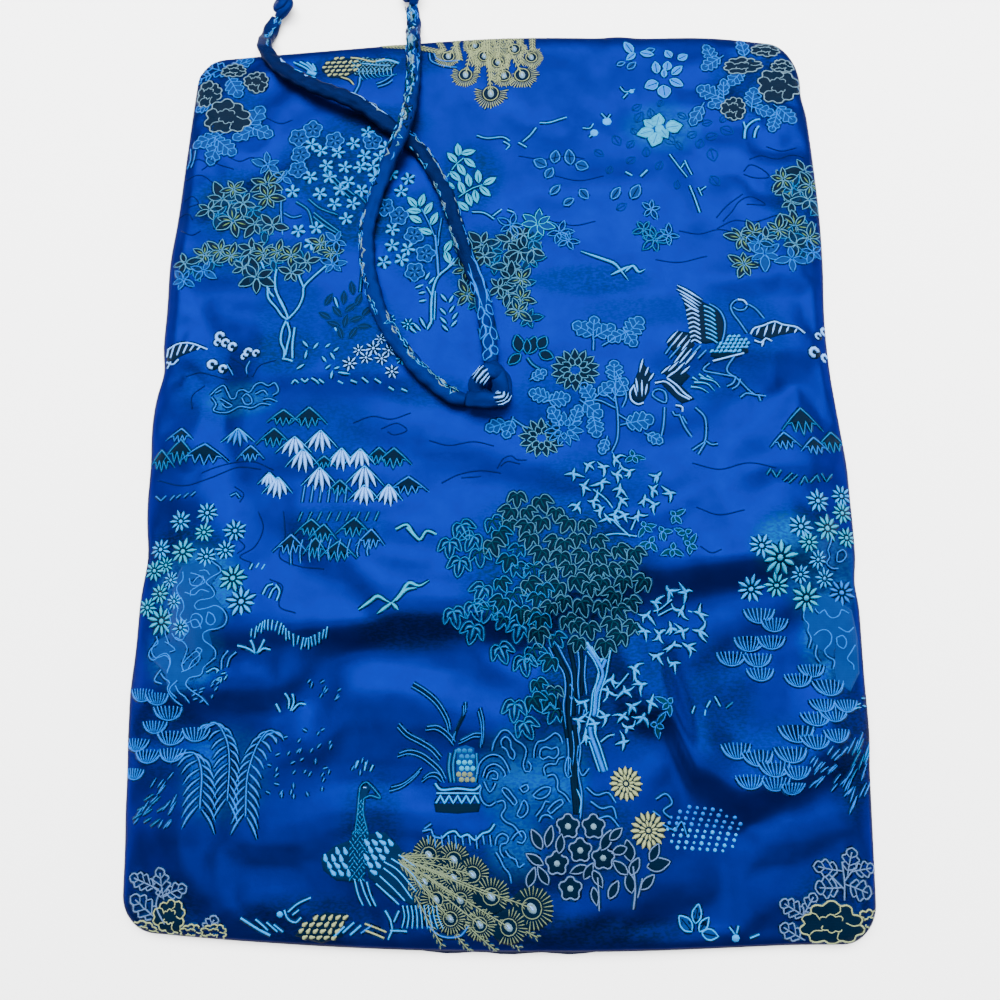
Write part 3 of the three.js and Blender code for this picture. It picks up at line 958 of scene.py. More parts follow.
# %% Define feathers and rayed flowers
def plume(shaft, thread, reach, gap=1.75, width=0.36):
    """A feather: a shaft with barbs on both sides that lean to its tip."""
    sew(thread, shaft, 0.5)
    line = straight(np.asarray(shaft, dtype=float), 0.25)
    ways = np.degrees(np.arctan2(*np.gradient(line, axis=0).T[::-1]))
    for at in range(2, len(line) - 1, round(gap / 0.25)):
        for side in (-1, 1):
            barb = [(0.2, 0.3 * side), (reach * 0.8, reach * 0.55 * side)]
            sew(thread, turned(barb, ways[at], line[at]), width, "leaf")


def chrysanthemum(place, radius, squash, line, inner, petals=13):
    for ring, share in ((0, 1.0), (1, 0.62)):
        for number in range(petals - 4 * ring):
            way = 90 + 360 * (number + 0.5 * ring) / (petals - 4 * ring)
            tip = np.array(turned([(radius * share, 0)], way, (0, 0))[0]) * (1, squash)
            reach = float(np.linalg.norm(tip))
            angle = math.degrees(math.atan2(tip[1], tip[0]))
            middle = np.array(place) + tip * 0.68
            leaf(middle, reach * 0.68, radius * 0.28, angle, line, inner, None, 0.46)


def sun_flower(place, radius, thread):
    """Two rings of pointed rays on a dark ground."""
    filled("ink", disc(place, radius * 0.86, 14))
    for rays, start, stop, width, shift in ((16, 0.5, 1.0, 1.25, 0), (12, 0.2, 0.56, 0.9, 9)):
        for number in range(rays):
            way = shift + 360 * number / rays
            sew(thread, turned([(radius * start, 0), (radius * stop, 0)], way, place), width, "leaf")
    fill(thread, disc(place, radius * 0.12, 8))


def eye_feather(place, radius, turn, start, stop, thread, ground=1.0, gap=13):
    """A peacock's eye: a pale drop in a dark ring, with a fringe of gold."""
    cover(disc(place, radius * ground))
    fill("ink", disc(place, radius * ground))
    sew(thread, closed(disc(place, radius * 0.46)), 0.4)
    fill("pearl", turned(disc((0, 0), radius, 14), turn, place, (0.27, 0.19)))
    sew("rose", turned([(-radius * 0.16, 0), (radius * 0.12, 0)], turn, place), radius * 0.14, "petal")
    for way in np.arange(start, stop, gap):
        reach = radius * chance.uniform(0.92, 1.12)
        sew(thread, turned([(radius * 0.56, 0), (reach, 0)], way, place), 0.42, "petal")


print("plumes, chrysanthemums, sun flowers and peacock eyes are defined")

# %% Define bamboo, pine and fern
BAMBOO_EDGE = [
    (0.64, -0.6), (0.46, -0.56), (0.36, -0.94), (0.17, -0.5), (0, -1.04), (-0.17, -0.5), (-0.36, -0.94),
    (-0.46, -0.56), (-0.64, -0.6),
]


def bamboo(place, span, drop, line, body):
    """Leaves that hang from one point, under two long ribs."""
    roof = np.array([(0, 0.02), *BAMBOO_EDGE]) * (span, drop) + place
    if body == "ink":
        filled("ink", roof)
        sew(line, np.array(BAMBOO_EDGE) * (span, drop) + place, 0.42, curved=False)
    else:
        cover(roof)
    for side in (-1, 1):
        rib = [(0, 0.04), (side * span * 0.5, -drop * 0.4), (side * span, -drop * 0.88)]
        sew(line if body == "ink" else "ice", np.array(rib) + place, 0.7, "tail")
    if body != "ink":
        for tip, low in ((-0.62, 0.92), (-0.22, 1.08), (0.2, 1.16), (0.6, 0.94)):
            blade = [(tip * 0.2, -0.1), (tip * 0.62, -0.5 * low), (tip, -low)]
            sew(body, np.array(blade) * (span, drop) + place, 1.25, "leaf")


PINE_NEEDLES = 8


def pine_tuft(place, radius, thread):
    """A shallow bowl of needles that flare from its foot."""
    bowl = np.array([(-1.0, 0.2), (-0.7, -0.3), (0, -0.55), (0.7, -0.3), (1.0, 0.2)]) * radius + place
    cover(bowl)
    sew(thread, bowl, 0.45)
    for lean in np.linspace(-0.92, 0.92, PINE_NEEDLES):
        foot, tip = (0.5 * lean, -0.5 + 0.12 * lean**2), (1.1 * lean, 0.44 - 0.1 * lean**2)
        needle = [foot, (0.86 * lean, -0.08), tip]
        sew(thread, np.array(needle) * radius + place, 0.42)


def fern(stem, thread, reach, gap=2.3):
    """Bowed leaflets on both sides of a stem, each standing a little off it."""
    sew(thread, stem, 0.55)
    line = through_points(stem, 0.25)
    places = np.arange(gap, 0.25 * len(line) - 0.6, gap)
    for side in (-1, 1):
        for along in places + (0.5 * gap if side > 0 else 0):
            at = line[min(int(along / 0.25), len(line) - 1)]
            low = along / (0.25 * len(line))
            length = reach * (0.62 + 0.3 * low)
            bend = (length * (0.6 - 0.2 * low), -length * (0.16 + 0.34 * low))
            tip = (length * (0.92 - 0.3 * low), -length * (0.55 + 0.42 * low))
            frond = [(0.45, -0.1), bend, tip]
            sew(thread, np.array(frond) * (side, 1) + at, 0.7, "leaf")


print("needles of a pine tuft:", PINE_NEEDLES)

# %% Define dashes, dots and feather fields
def dash(thread, x, y, turn, length, width=0.7):
    sew(thread, turned([(-length / 2, 0), (length / 2, 0)], turn, (x, y)), width, "leaf")


def dot(thread, x, y, size):
    fill(thread, disc((x, y), size / 2, 7))


def field(outline, pitch, across):
    """Staggered places inside an outline."""
    low = np.min(outline, axis=0)
    high = np.max(outline, axis=0)
    places = [
        (x, y)
        for row, y in enumerate(np.arange(low[1], high[1], pitch * across))
        for x in np.arange(low[0] + (row % 2) * pitch / 2, high[0], pitch)
    ]
    places = np.array(places)
    return places[within(np.asarray(outline, dtype=float), places)]


def pearls(thread, outline, pitch, size, turn):
    """Rows of small solid drops over an area."""
    for place in field(outline, pitch, 0.86):
        lean = turn + 12 * chance.normal()
        sew(thread, turned([(-size / 2, 0), (size / 2, 0)], lean, place), size * 0.8, "petal")


def herringbone(thread, outline, pitch, turn):
    """Short barbs that lean to both sides of a feather's way."""
    for number, place in enumerate(field(outline, pitch, 0.62)):
        lean = turn + (38 if number % 2 else -38) + 10 * chance.normal()
        sew(thread, turned([(-pitch * 0.42, 0), (pitch * 0.42, 0)], lean, place), 0.5, "leaf")


print("dashes, dots, pearls and barbs are defined")

# %% [markdown]
# ## The garden, part one: the upper left
# A peony fills the corner, and a plum tree in blossom stands beside a tree of pointed leaves. Each chart
# below lists places in millimetres from the middle of the cloth, +X to the right and +Y to the upper end.

# %% Chart the corner peonies
# x, y, length, width, way it points, lobes
PEONY_LEAVES = chart("""
-97 135 10 6.5 160 3; -89.6 126.6 8 6.5 -60 3; -88 137.2 8.5 4.5 25 3; -81.6 116.4 8 7 62 2; -85.6 109 8
5.5 215 2; -79 109.6 8 5.5 -25 2; -98 106.4 10 6 205 3; -95 101.6 9 6 250 3; -91 103.6 9 6 -40 3; -101.5
131.5 6 4.5 200 2; -100.6 119.4 5 4 190 2; 73.4 136.2 8 5 110 3; 73.4 132 7.5 5 215 3; 84.6 138.4 7 4.5
100 2; 81.6 126.6 7 5.5 230 3; 72 121.2 8 6.5 150 3; 77.4 123 7 4 85 2; 74.6 116.4 6.5 4.5 200 2; 67.6 112
7.5 4.5 240 2; 86.8 118.4 7.5 6 80 3; 90.4 113.4 6.5 5 -20 2; 97.4 111.4 8 6 -50 3; 93 108.4 7 4.5 250 3;
-98 -126.6 7.5 4.5 160 3; -92 -126.6 8 5.6 100 3; -87.4 -128.6 6.5 4.5 20 2; -97 -133 9 5.6 145 3; -77.4
-137.6 6.5 4.6 60 3; 90.4 -121.6 6.5 4.5 170 2; 97.4 -119.4 6 5 75 2; 101.2 -122 5.5 4.2 10 2; 90 -126.4 6
5.5 180 2; 99.4 -127.2 6 5.5 -20 2; 80.4 -131.6 7 5 150 3; 85.4 -130.2 5.5 4 60 2; 79.8 -137.6 6 4.6 150 2
""")
for x, y, length, width, turn, lobes in PEONY_LEAVES:
    lobed_leaf((x, y), length, width, turn, "sky" if y > 0 else "lilac", lobes, "haze" if y > 0 else None)

# x, y, half width, half height
PEONIES = chart("""
-98.6 124.6 4.6 5.4; -91.6 115.4 8 6.4; -82.4 129.2 4.2 4; -90.6 134 4.4 3; 84.2 131.2 6.6 3.2; 95.6 122.8
7.4 6.4; 80 114.4 4.2 4.2; 92.4 137 5 2.8; 97.6 130.6 4 2.6; 101.2 -135.4 3.8 3.6; 91 -135.6 8.6 5.6;
-89.2 -135.6 4.6 4.6; -97 -139.4 4.6 2.6; -83 -139.6 3.2 2.4; -76.6 -139.4 3.6 2.4
""")
for x, y, across, along in PEONIES:
    peony((x, y), across, along, "gold" if y < 0 else "pearl")

sew_chart("""
sky 0.5: -103.6 104 -103.2 100 -104.2 96.4; -101.4 103 -101.8 99.6 -102.8 96.6; ice 0.9: 83 103 83.8 107
86 109.4 88.6 110.2; 86.3 103.4 86.9 106 88 107.6; ice 0.7: 83.8 107 83.2 109.6; lilac 0.6: 95 -120 95.2
-125 94.6 -129.6; 95.2 -125 98.4 -121.6; 95 -127 91.6 -123.6; -91.6 -128 -93.4 -132.4 -90.4 -137.4
""")
print("peony leaves:", len(PEONY_LEAVES))

# %% Chart the plum trees
OUTLINE_BLOSSOMS = chart("""
-66.5 107.2; -61.8 110.2; -54.2 105.8; -65.6 100.8; -66 94.8; -41.2 105; -22.4 63.2; -25.8 56.8; -31.6 77;
-26.4 70; -36.4 80.4
""")
for x, y in OUTLINE_BLOSSOMS:
    ring_flower((x, y), 3.3, "sky", turn=90 + 7 * x)

SOLID_BLOSSOMS = chart("""
-62 104.6; -58.6 102; -52.8 101.2; -47.6 104.4; -43 108.6; -43.8 99.8; -38.6 99.2; -56.4 96.2; -50.2 95.4;
-45 95.4; -40.8 95.6; -61.6 91.8; -55.2 91.6; -48.8 89.8; -40 91.6; -58.2 85.8; -51.4 87; -44.2 86.6;
-67.4 86.6; -53.2 82; -58.8 73.2; -64.8 72.4; -31 86; -28.2 65; -33.4 66.2; -30.2 61.2; -36.6 102.6; -33.6
72.2; -49 76.4; -36 60.4; -28.8 90.6; -60.4 67.6; -34.4 92.4; -47 82
""")
for number, (x, y) in enumerate(SOLID_BLOSSOMS):
    blossom((x, y), 2.5, "ice", 37 * number)
print("blossoms:", len(SOLID_BLOSSOMS) + len(OUTLINE_BLOSSOMS))

# %% Chart the plum branches and leaves
sew_chart("""
teal 0.6: -57 94 -53 89 -48 84; -56 94.6 -51.6 89.4 -46.6 85; -60 79 -56 75.6 -51 71.6; -60 77.4 -55.6
73.6 -50 70; sky 0.55: -70 79 -67 77.4 -64 78; -71 88 -71 80 -70 71; teal 0.55: -62 84 -58 80.6 -52 78;
-46 86 -42 81 -41 74; teal 0.6: -66 83 -62 80 -60 74; -44 70 -43 60 -43.4 50; ice 0.95: -20.2 38.6 -20 49
-18.4 54.6 -14.6 58.4 -11.6 61.6; ice 0.7: -15.4 57.6 -13 61.6; ice 0.55: -19.2 40 -19 50; sky 0.9: -19.4
70 -18.6 62 -18 55; ice 0.6: -21.8 51.6 -20 48.4; sky 0.5: -24 79.4 -21.4 74 -19.4 69; -17.4 76 -18.2 70
-18.4 66; jade 0.5: -16 90.6 -13 95.4 -10.4 98; -12 83.6 -7.4 86.8 -4 88
""")

# x, y, way it points, length
PLUM_LEAF_DASHES = chart("""
-21.6 55.2 60 3; -20.2 53.6 50 3.2; -24.2 51.8 20 3; -23.2 49.6 8 2.4; -23 46.8 10 2.6; -16.2 47.6 -52
3.2; -13.8 47.2 60 3; -16.4 43 -50 3.2; -13.6 43.8 55 3; -16.2 39.8 -48 3.2; -12.6 41.4 55 3; -15.6 37.2
-48 3; -12.8 38.8 50 3; -24.6 37.6 -48 3.8; -22.8 39 -62 4.4; -20.6 38.6 66 4.4; -26 36.6 -42 3.4
""")
for x, y, turn, length in PLUM_LEAF_DASHES:
    dash("ice", x, y, turn, length, 1.0)

JADE_LEAFLETS = chart("""
-14.2 98.2 130; -12.2 101.2 95; -8.8 100.2 15; -8.2 96.2 -42; -11 93.6 -60; -13 91.2 -45; -8.6 89.8 100;
-5.4 91.2 95; -1.6 89.4 32; -3.1 85.6 -45; -6.2 83.8 -80; -8.4 82.6 -72; -11 87.2 110; -10.4 80.4 140;
-15.4 88 150; -27.2 82 130; -24 82.6 75; -21.8 79.6 60; -26.6 78.8 175; -26 75.8 150; -19.8 75.8 65; -22.6
71.4 160; -15 66 60; -15.2 61.8 -70
""")
for x, y, turn in JADE_LEAFLETS:
    leaf((x, y), 4.8, 2.1, turn, "jade", "jade", None)
    sew("moss", turned([(-2.2, 0.1), (1.3, 0)], turn, (x, y)), 0.55, "leaf")
print("leaflets:", len(PLUM_LEAF_DASHES) + len(JADE_LEAFLETS))

# %% Chart the trees of pointed leaves
sew_chart("""
ice 0.85: -76.2 61 -74.4 56.6 -73.8 52 -73.4 48.8 -70.4 45 -68.2 42 -66.6 40.8; -71 58.4 -71.4 54.6 -70.8
50.6 -68.4 46 -66.8 42.4 -66.4 41; -75 58 -72.6 54 -73.4 51.4 -71.6 49; -66.4 41 -63.4 45 -62 49 -61.8 52
-59 55.4 -54.4 60; -64.4 58.6 -63.2 55 -61.9 52; -67 40.4 -68 37 -68 33 -66.6 29.6 -66.6 27; -66.6 40
-65.4 36 -65.8 32 -66.2 28; -64 38 -64.2 32 -63.8 27; -71.4 52 -69.6 47.8 -67.2 43.4; ice 0.9: -67 27 -65 26.6
-63.6 26; sky 0.55: -6.4 58 -5.4 52 -5 47 -3 44 -4 41; -4.6 53 -3.8 48 -1 42 0.4 35; -5.8 43 -4.4 44.4
-2.8 42 -4 38 -3.6 33 -1.6 28; -4.8 37 -3.6 32 -2 27; -2.8 36 -0.8 33 -0.4 28; -1.8 38.6 0 36.6 1.2 33;
-7.2 54 -6.6 50
""")
# x, y, radius, leaves, first leaf points, line
POINTED_ROSETTES = chart("""
-76 89.6 6.4 6 90 sage; -91 84.6 6.4 6 60 teal; -87.6 88.4 4.6 5 120 sage; -95 80.6 4.8 5 150 teal; -86.6
76 6 6 -80 sage; -79.4 75.2 5 5 10 teal; -75.6 84.6 5.2 6 -60 sage; -83.6 82.4 4.6 5 60 teal; -73.6 74.6
4.6 5 -90 teal; -95.4 64.2 5 5 150 sage; -90.4 65.6 4.8 6 80 sage; -86.6 63.6 4.4 5 0 sage; -80 66 4.8 6
100 teal; -75.8 64.2 5 6 60 sage; -71.2 64.8 4.8 6 30 sage; -66.6 63.4 4.8 5 -20 sage; -61.4 61 4.4 5 -60
teal; -57 67.4 4.4 5 80 sage; -53.4 64.2 4.8 6 0 sage; -82 59 4.6 5 -140 teal; -77.4 55.6 6.2 6 -90 teal;
-101.4 61 4.8 5 180 teal; -66 57 4 5 -70 teal; -4 66.4 5.2 6 70 teal; -8.4 62.4 5.2 6 150 sage; -3.2 62
4.4 5 10 teal; -9.4 57.6 4.8 5 200 sage; -8.6 48.6 4.8 6 180 sage; 5.4 67.2 5 6 100 teal; 8.4 63.2 5.2 6
20 teal; 12.4 64 4.6 5 40 teal; 9.4 69.6 4.4 5 60 teal; 4.4 58.6 4.6 6 0 teal; 5.2 54.2 5 6 30 teal; 8.6
53.6 4.6 5 -30 sage; 4.2 48.8 4.6 6 90 teal; 8.6 46.8 5 6 50 sage; 7.6 42.6 4.8 5 -110 sage; 1.6 51 4 5
140 teal; 97 85 6.6 6 70 sage; 101.6 90.4 5.6 5 100 teal; 94.6 87.6 4.6 5 160 sage; 96.6 79.4 4.6 5 200
teal; 102.6 80.4 5.4 6 0 teal; 103.4 85.6 5 5 40 sage; 97 70.6 6 7 100 sage; 101.4 66.6 5.2 6 20 sage;
91.6 69.4 5.2 6 150 sage; 79.6 66.6 5.2 6 120 sage; 83.8 68.4 4.6 6 60 sage; 79.6 57 5 7 90 sage; 96.6 64
5 5 -100 teal; 87.4 66.4 4.4 5 80 teal
""")
for number, (x, y, radius, leaves, turn, line) in enumerate(POINTED_ROSETTES):
    if number % 2:
        rosette((x + 3.2, y - 2.4), radius * 0.9, leaves, turn + 40, "teal", "fir")
    rosette((x, y), radius * 1.05, leaves, turn, "sage", "ink", "olive" if line == "sage" else None)
print("dark rosettes:", len(POINTED_ROSETTES))

# %% Chart the paler leaves
PALE_ROSETTES = chart("""
-76.6 97.4 5 5 90; -71 92 4 4 60; -95 58 4.6 4 -120; -101.4 55 4.4 5 -100; -52.6 60 4.4 5 -60; -52 68.4
4.2 5 60; 86.4 60.6 5.8 6 90; 94.6 58.6 5.2 4 -90; 102 61.4 4.4 5 30; 85 65 4.2 4 60
""")
for x, y, radius, leaves, turn in PALE_ROSETTES:
    rosette((x, y), radius, leaves, turn, "sky", "haze")

SKY_SPRIGS = chart("""
5.6 73.2 4.8 5 80 sky; 21.4 70.4 4.8 6 70 sky; 14.2 73.4 5.6 7 90 jade; 51.8 67 5 6 -80 teal; 56.6 68.6
4.2 5 0 sky; 48.6 70.6 4 5 120 teal; 23.8 67 4 5 -70 sky; 51.2 77.6 3.8 5 80 sky
""")
for x, y, radius, leaves, turn, thread in SKY_SPRIGS:
    rosette((x, y), radius, leaves, turn, thread, "haze" if thread == "jade" else None)

print("pale rosettes:", len(PALE_ROSETTES) + len(SKY_SPRIGS))

# %% [markdown]
# ## The garden, part two: birds
# Gulls glide across the open satin. Two cranes dance at the right, a pheasant and a peacock walk along the
# upper end, and another pair along the lower end. Their feathers are single pale strokes with dark filling
# between.

# %% Chart the gulls and insects
GULLS = strokes("""
-6 106.6 -3 105.6 3 105.6 5.2 104; 3 104 5 102.4 3.8 100.8; 8 103.2 10.8 101.2; 9.4 103.4 12 106 14 109;
15.2 110.8 18.6 110.8 24.4 112.8; -7.4 78.2 -3.4 77.8 0 75.4; -0.6 76.6 2.4 79; 4.2 78.6 6.6 77.6; -29.4
-28 -26 -26.6 -24.2 -29 -22 -31.2 -20 -28.6 -17 -29.6; -26 -27.4 -23.6 -30 -22 -31.4
""")
for points in GULLS:
    sew("jade" if points[0][1] < 0 else "ice", points, 0.9 if points[0][1] < 0 else 0.65)
BROAD_GULLS = strokes("""
28 63.2 31 62 35 60.4 38.8 58.6 41 55.6 43 52.6; 37.4 54.6 40.6 56.2 43 57.4 45 58; 42 55.6 44.6 57.8 46.4
55.6 48.6 56.6; -39 -52 -35.6 -49.6 -33.4 -48.2 -31 -49.4 -29 -50.4; -29.4 -50.4 -26.8 -47.8 -24.4 -44.4
-21.4 -45.2 -18.6 -43.6; -29 -50 -33.4 -53.2; -29 -50.2 -27.2 -52.2; -28 -49.6 -25.2 -46.4 -22 -45.8
""")
for points in BROAD_GULLS:
    sew("ice" if points[0][1] > 0 else "jade", points, 1.1, "leaf")
INSECTS = strokes("""
42.6 124 44.2 122 47.6 123; 43.4 119.6 45.2 121.6; 36 114 37.6 112; 39 113.6 38 112; 29.6 108.4 32 108.2
33.2 110; 63.6 -136.6 65 -138.4; 66 -136.2 65.4 -138.2; 69 -139.4 71.6 -138.4; 31.6 104.8 33.4 106.4
""")
for points in INSECTS:
    sew("ice", points, 0.6)
INSECT_BODIES = chart("""
46.4 122.2 1.8; 37.8 110.8 3.2; 33.4 106.4 2.8; 65.2 -139.4 2.2
""")
for x, y, size in INSECT_BODIES:
    dot("ice", x, y, size)
print("gulls and insects:", len(GULLS) + len(BROAD_GULLS) + len(INSECTS), "strokes")

# %% Chart the cranes
CRANE_DARK = strokes("""
59 49.4 66 44.6 70.4 42 72 38 71.4 31 66 30 61.6 31 61 38 60 45; 54 30 57.6 34.6 61.2 34 62.6 29.6 58 25;
80.4 32.4 84 35.6 88 36.8 95.6 33.8 89 32.6 84 31; 67 26 71 30 78.6 31.6 79 27 72 24.8; 42.6 16 44.2 20.4
46.4 25 49 21 48.2 15 46 11.4 43 12.2; 52 17.6 56 19.2 60 15 62 12.4 58 11 55 14; 52 21.6 56 24 61 20 58
16.8
""")
for outline in CRANE_DARK:
    fill("ink", outline)
CRANE_BOLD = strokes("""
58.3 50.5 66 45; 58.1 49.2 65.6 43.8; 58.9 47.6 65 43; 59.6 46 64.6 42; 60.2 44.2 64.4 40.8; 46.6 26 45.4
21.6; 48.2 23.2 47 20.4; 49.8 21.2 48 18.6; 44.2 19.6 44.6 15; 46 19 45.8 13.6; 47.6 17.6 46.8 14; 43.6 17
44.2 13.6; 50 18 53 18.4 55 17 57.2 14.4 60.4 12.4; 53.8 19.4 56.8 17 59 14.4 61 12.8; 80 33 81.2 35 84 36
88 37.4 90 36.4 92.4 35.8 94.6 35.2 96.8 33.2; 83 35.4 81.6 32.6; 85.6 36.2 84 32.2; 88 37 86.6 33; 90
36.2 88.6 33.2; 92 35.6 91 33.6; 94.4 34.8 93.4 33.2; 81 31 83 30.2 84.6 31.6 86.4 30.6; 83 28.8 84 31; 77
45.2 79 44.8 79.9 43.4; 56 10.6 58 10 58 8.4; 54.2 21.6 57.4 24.6; 56 21 59.4 24.4; 52 21 55 23.4; 58 20.6
61 23.2; 53.6 19.6 57 22; 57.6 24 61.6 28.6; 59.4 23.6 63 27.6; 56 24 60 29; 54 30.6 57.6 34.6; 55.4 29.6
59 34; 57 29 60.4 33; 58.4 28 61.4 31.8
""")
for points in CRANE_BOLD:
    sew("rose", points, 0.72, "leaf" if len(points) == 2 else "even")
for step in range(8):
    level = 42 - 1.55 * step
    sew("rose", [(60.6 + 0.12 * step, level - 0.4), (62.6, level + 0.3), (64.6, level - 0.9)], 0.7)
    sew("ice", [(66.2, level + 1.2), (68, level + 0.4), (69.6, level - 0.9)], 0.7)
print("bold strokes:", len(CRANE_BOLD))

# %% Chart the cranes' necks, legs and tails
CRANE_FINE = strokes("""
79 33.4 77 37.4 75 41 74.7 43 75.8 44.6 77 45.2; 75.4 42.6 77 41.6 79 41.9 79.8 43; 80.2 43.6 82.4 42 84.8
38.4; 68 43.8 71 41.6 72.4 38 72 34 71 30.6; 74.6 26 72.3 21.8 76 18.4 79 15.2 80.6 13.9; 76 13 78 14.4
80.6 13.9 84 13.4; 81.6 14 82.3 11.8; 67 24 65 22 70 20.6 75 19.6; 75 19.6 74 17.6 72 16.5; 76.3 19 75.5
17 73.5 15.7; 49.6 15.4 51 16 53 15 53 11.6 50.6 12.6 49 14.2 49.6 15.4; 57 7.6 58.4 4 60.6 0.4; 57.9 7
59.2 4.6; 62 9.8 64.8 6.6 64.7 0 64.2 -1.2; 64.2 -1.2 60.4 -3.8; 64.5 -1.3 62 -5.2; 64.7 -0.8 66.4 -2 68.2
-1.8; 52.6 10 52 4 51.2 0.6; 55 8.6 55.6 7.4 57 7.4; 53.4 27 56 30.6; 54.6 25.6 58 29.4; 61.6 26.6 64.4
29.6; 63.4 25.4 66 28
""")
for points in CRANE_FINE:
    sew("sky", points, 0.6)
CRANE_TAIL = strokes("""
61 16.6 64 16 66.4 14.4; 62 18 66 17.4 68.2 15; 64 19.4 68.4 18 70 16; 61.6 19.6 63.4 18.4; 63.6 20.6 66
19; 66 20 68 18.8
""")
for points in CRANE_TAIL:
    sew("ice", points, 0.85, "tail")
sew_chart("""
rose 0.7: 68 24.6 72 25.6 77.6 26.9; 43.6 17.4 42.2 15 42.6 12.4 44.6 11 46.2 11.6
""")
CRANE_BREAST, WING_GROUND = strokes("""
67 27 70 30 74 33.6 79.4 31.6 78.6 28 72 26.4; -105 31 -101 32.8 -94 31.4 -100 28.6 -105 25.6
""")
pearls("ice", CRANE_BREAST, 1.4, 1.5, 30)
fill("ink", WING_GROUND)
WING_REPEAT = strokes("""
-105 31 -101 33 -97 33 -92 31.2; -104.6 31.6 -105 28.6; -102.6 32.4 -103.6 28.2; -100.4 32.8 -101.4 29;
-98.4 32.6 -99.4 29.6; -96.4 32.4 -97.4 30.4; -105 27 -102.6 26 -100.8 27.6; -104.6 24.8 -103.4 27; -94.4
32 -95.2 30.8
""")
for points in WING_REPEAT:
    sew("rose", points, 0.72)
print("fine strokes:", len(CRANE_FINE) + len(CRANE_TAIL))

# %% Chart the peacocks' tails
TOP_TAIL, LOW_TAIL = strokes("""
-44 144 -40 139.4 -24 138.6 -19 134 -12 131 -4 124 4 129 12 134 16 144;
-21 -117 -12 -117 -2 -122 4 -128 10 -136 6 -144 -8 -144 -20 -131
""")
for outline in (TOP_TAIL, LOW_TAIL):
    fill("ink", outline)
# x, y, radius, fringe from, fringe to
PEACOCK_EYES = chart("""
-7 142 4 150 390; 6.7 140 4.4 150 390; -16 137.6 4.4 120 420; -3.6 137.6 4.2 0 360; 1.1 135 4.2 0 360;
12.6 136.4 4.2 200 460; -10 130 4.8 150 390; 3.2 129.4 4.6 180 380; 9.4 129.4 5.4 200 420; -1.3 122.5 5.6
160 380; -17.6 -118.6 4.6 20 220; -10.7 -119.6 4.4 20 160; -5.6 -123.4 4.6 -20 160; -10.7 -124.4 4.4 0
360; -18.8 -125.6 4.2 0 360; -15.5 -130.1 4.2 0 360; -9 -130.1 4.2 0 360; -0.5 -129.1 5 -40 140; -11.6
-135 4.2 0 360; 10.5 -132.1 5.8 -110 130; 4.2 -137 4.8 -120 100; -3.6 -136.4 4.2 0 360
""")
TOP_ROOT, LOW_ROOT = np.array((-4.0, 162.0)), np.array((-27.0, -119.0))
TOP_FEATHERS = strokes("""
-40 143.4 -25 141.4; -30 142.6 -15 138.6; -14 146 -12 136; -10 146 -7 134; -5 146 -6 131; -2 146 -1 128;
2 146 1 127; 6 146 4 133; 9 146 9 134; 13 146 13 138; -20 145 -17 139
""")
LOW_FEATHERS = chart("""
-6 -144; 1 -143.6; 7 -142.4; 12 -139.6; -14 -142
""")
# The lower peacock is worked in the bronze thread, a dimmer copy of the upper peacock's gold, as painted
# shade.
for x, y, *_ in PEACOCK_EYES:
    root, share, thread = (TOP_ROOT, 0.3, "gold") if y > 0 else (LOW_ROOT, 0.12, "bronze_and_shaded_gold")
    plume([root + (np.array((x, y)) - root) * share, (x, y)], thread, 1.7)
for shaft in TOP_FEATHERS:
    plume(shaft, "gold", 2.0, 1.2, 0.44)
for tip in LOW_FEATHERS:
    plume([LOW_ROOT + (np.array(tip) - LOW_ROOT) * 0.3, tip], "bronze_and_shaded_gold", 1.7)
for x, y, radius, start, stop in PEACOCK_EYES:
    if y > 0:
        eye_feather((x, y), radius, -80, start, stop, "gold", 0.56, 10)
    else:
        eye_feather((x, y), radius, -50, start, stop, "bronze_and_shaded_gold")
print("peacock eyes:", len(PEACOCK_EYES))

# %% Chart the peacock and the pheasants
sew_chart("""
sky 0.6: -22.6 139 -22 136 -20 134.6 -16 133.4 -13 133; -21 139 -20 136.8 -17 135.6 -12 135.8; ice 0.6:
-39.2 -96.4 -38.4 -94.2; -36.6 -97 -36.2 -94.6; -35 -97.2 -34.2 -95.4; teal 0.4: -37.6 -103 -37.4 -101 -36
-100 -34.4 -101 -31.6 -104 -34.6 -103.4 -36.2 -104.2; -37.6 -103 -37.6 -108 -38.2 -113; -36.2 -104.2 -36
-108 -34.8 -112.4; rose 0.5: -36.6 -101.4 -35.8 -101.4; ice 0.55: -38 -125 -37 -129 -35.6 -132; -36.4 -125
-35 -129 -33.4 -132; -34.6 -125.6 -33.4 -129.4 -32 -132; ice 0.6: -30 -120.4 -26 -122.6 -21 -128; -30 -122
-26 -125 -22 -130; -28 -119.6 -23 -122.6 -19.4 -127; -31 -124 -27 -127.4 -24 -130.4; -32 -126 -28.6 -128.8
-25.6 -131.4; -26 -118.6 -21.4 -121.4; -29.4 -133 -28 -135.4 -27.4 -138; -25.6 -133 -27 -136; -28 -138.2
-23.4 -138.4; -27.4 -138 -28.6 -140.6; sky 0.55: -17.6 -137 -14 -139.6 -9 -139.4 -6.6 -136.6
""")
for step in range(9):
    foot = -24.6 + 1.15 * step
    sew("ice", [(foot, -131.6), (foot + 0.5, -134.4), (foot - 0.2 + 0.25 * step, -137.6)], 0.5)
PEACOCK_WING, PEACOCK_FLANK, PEACOCK_BREAST, PEACOCK_NECK = strokes("""
-47.4 -119.6 -44 -117 -40 -115.4 -39.6 -125.4 -43 -125 -46.4 -122.6;
-35 -114 -30 -113.4 -27 -116.6 -30 -121 -33 -125 -36 -121;
-38.6 -112 -34.6 -112 -34 -117 -35.4 -125.6 -39.6 -126 -40 -116;
-37.4 -104 -36.4 -104.6 -36 -109 -34.6 -113 -38 -113
""")
pearls("ice", PEACOCK_WING, 2.2, 2.2, -60)
pearls("ice", PEACOCK_FLANK, 2.2, 2.2, -50)
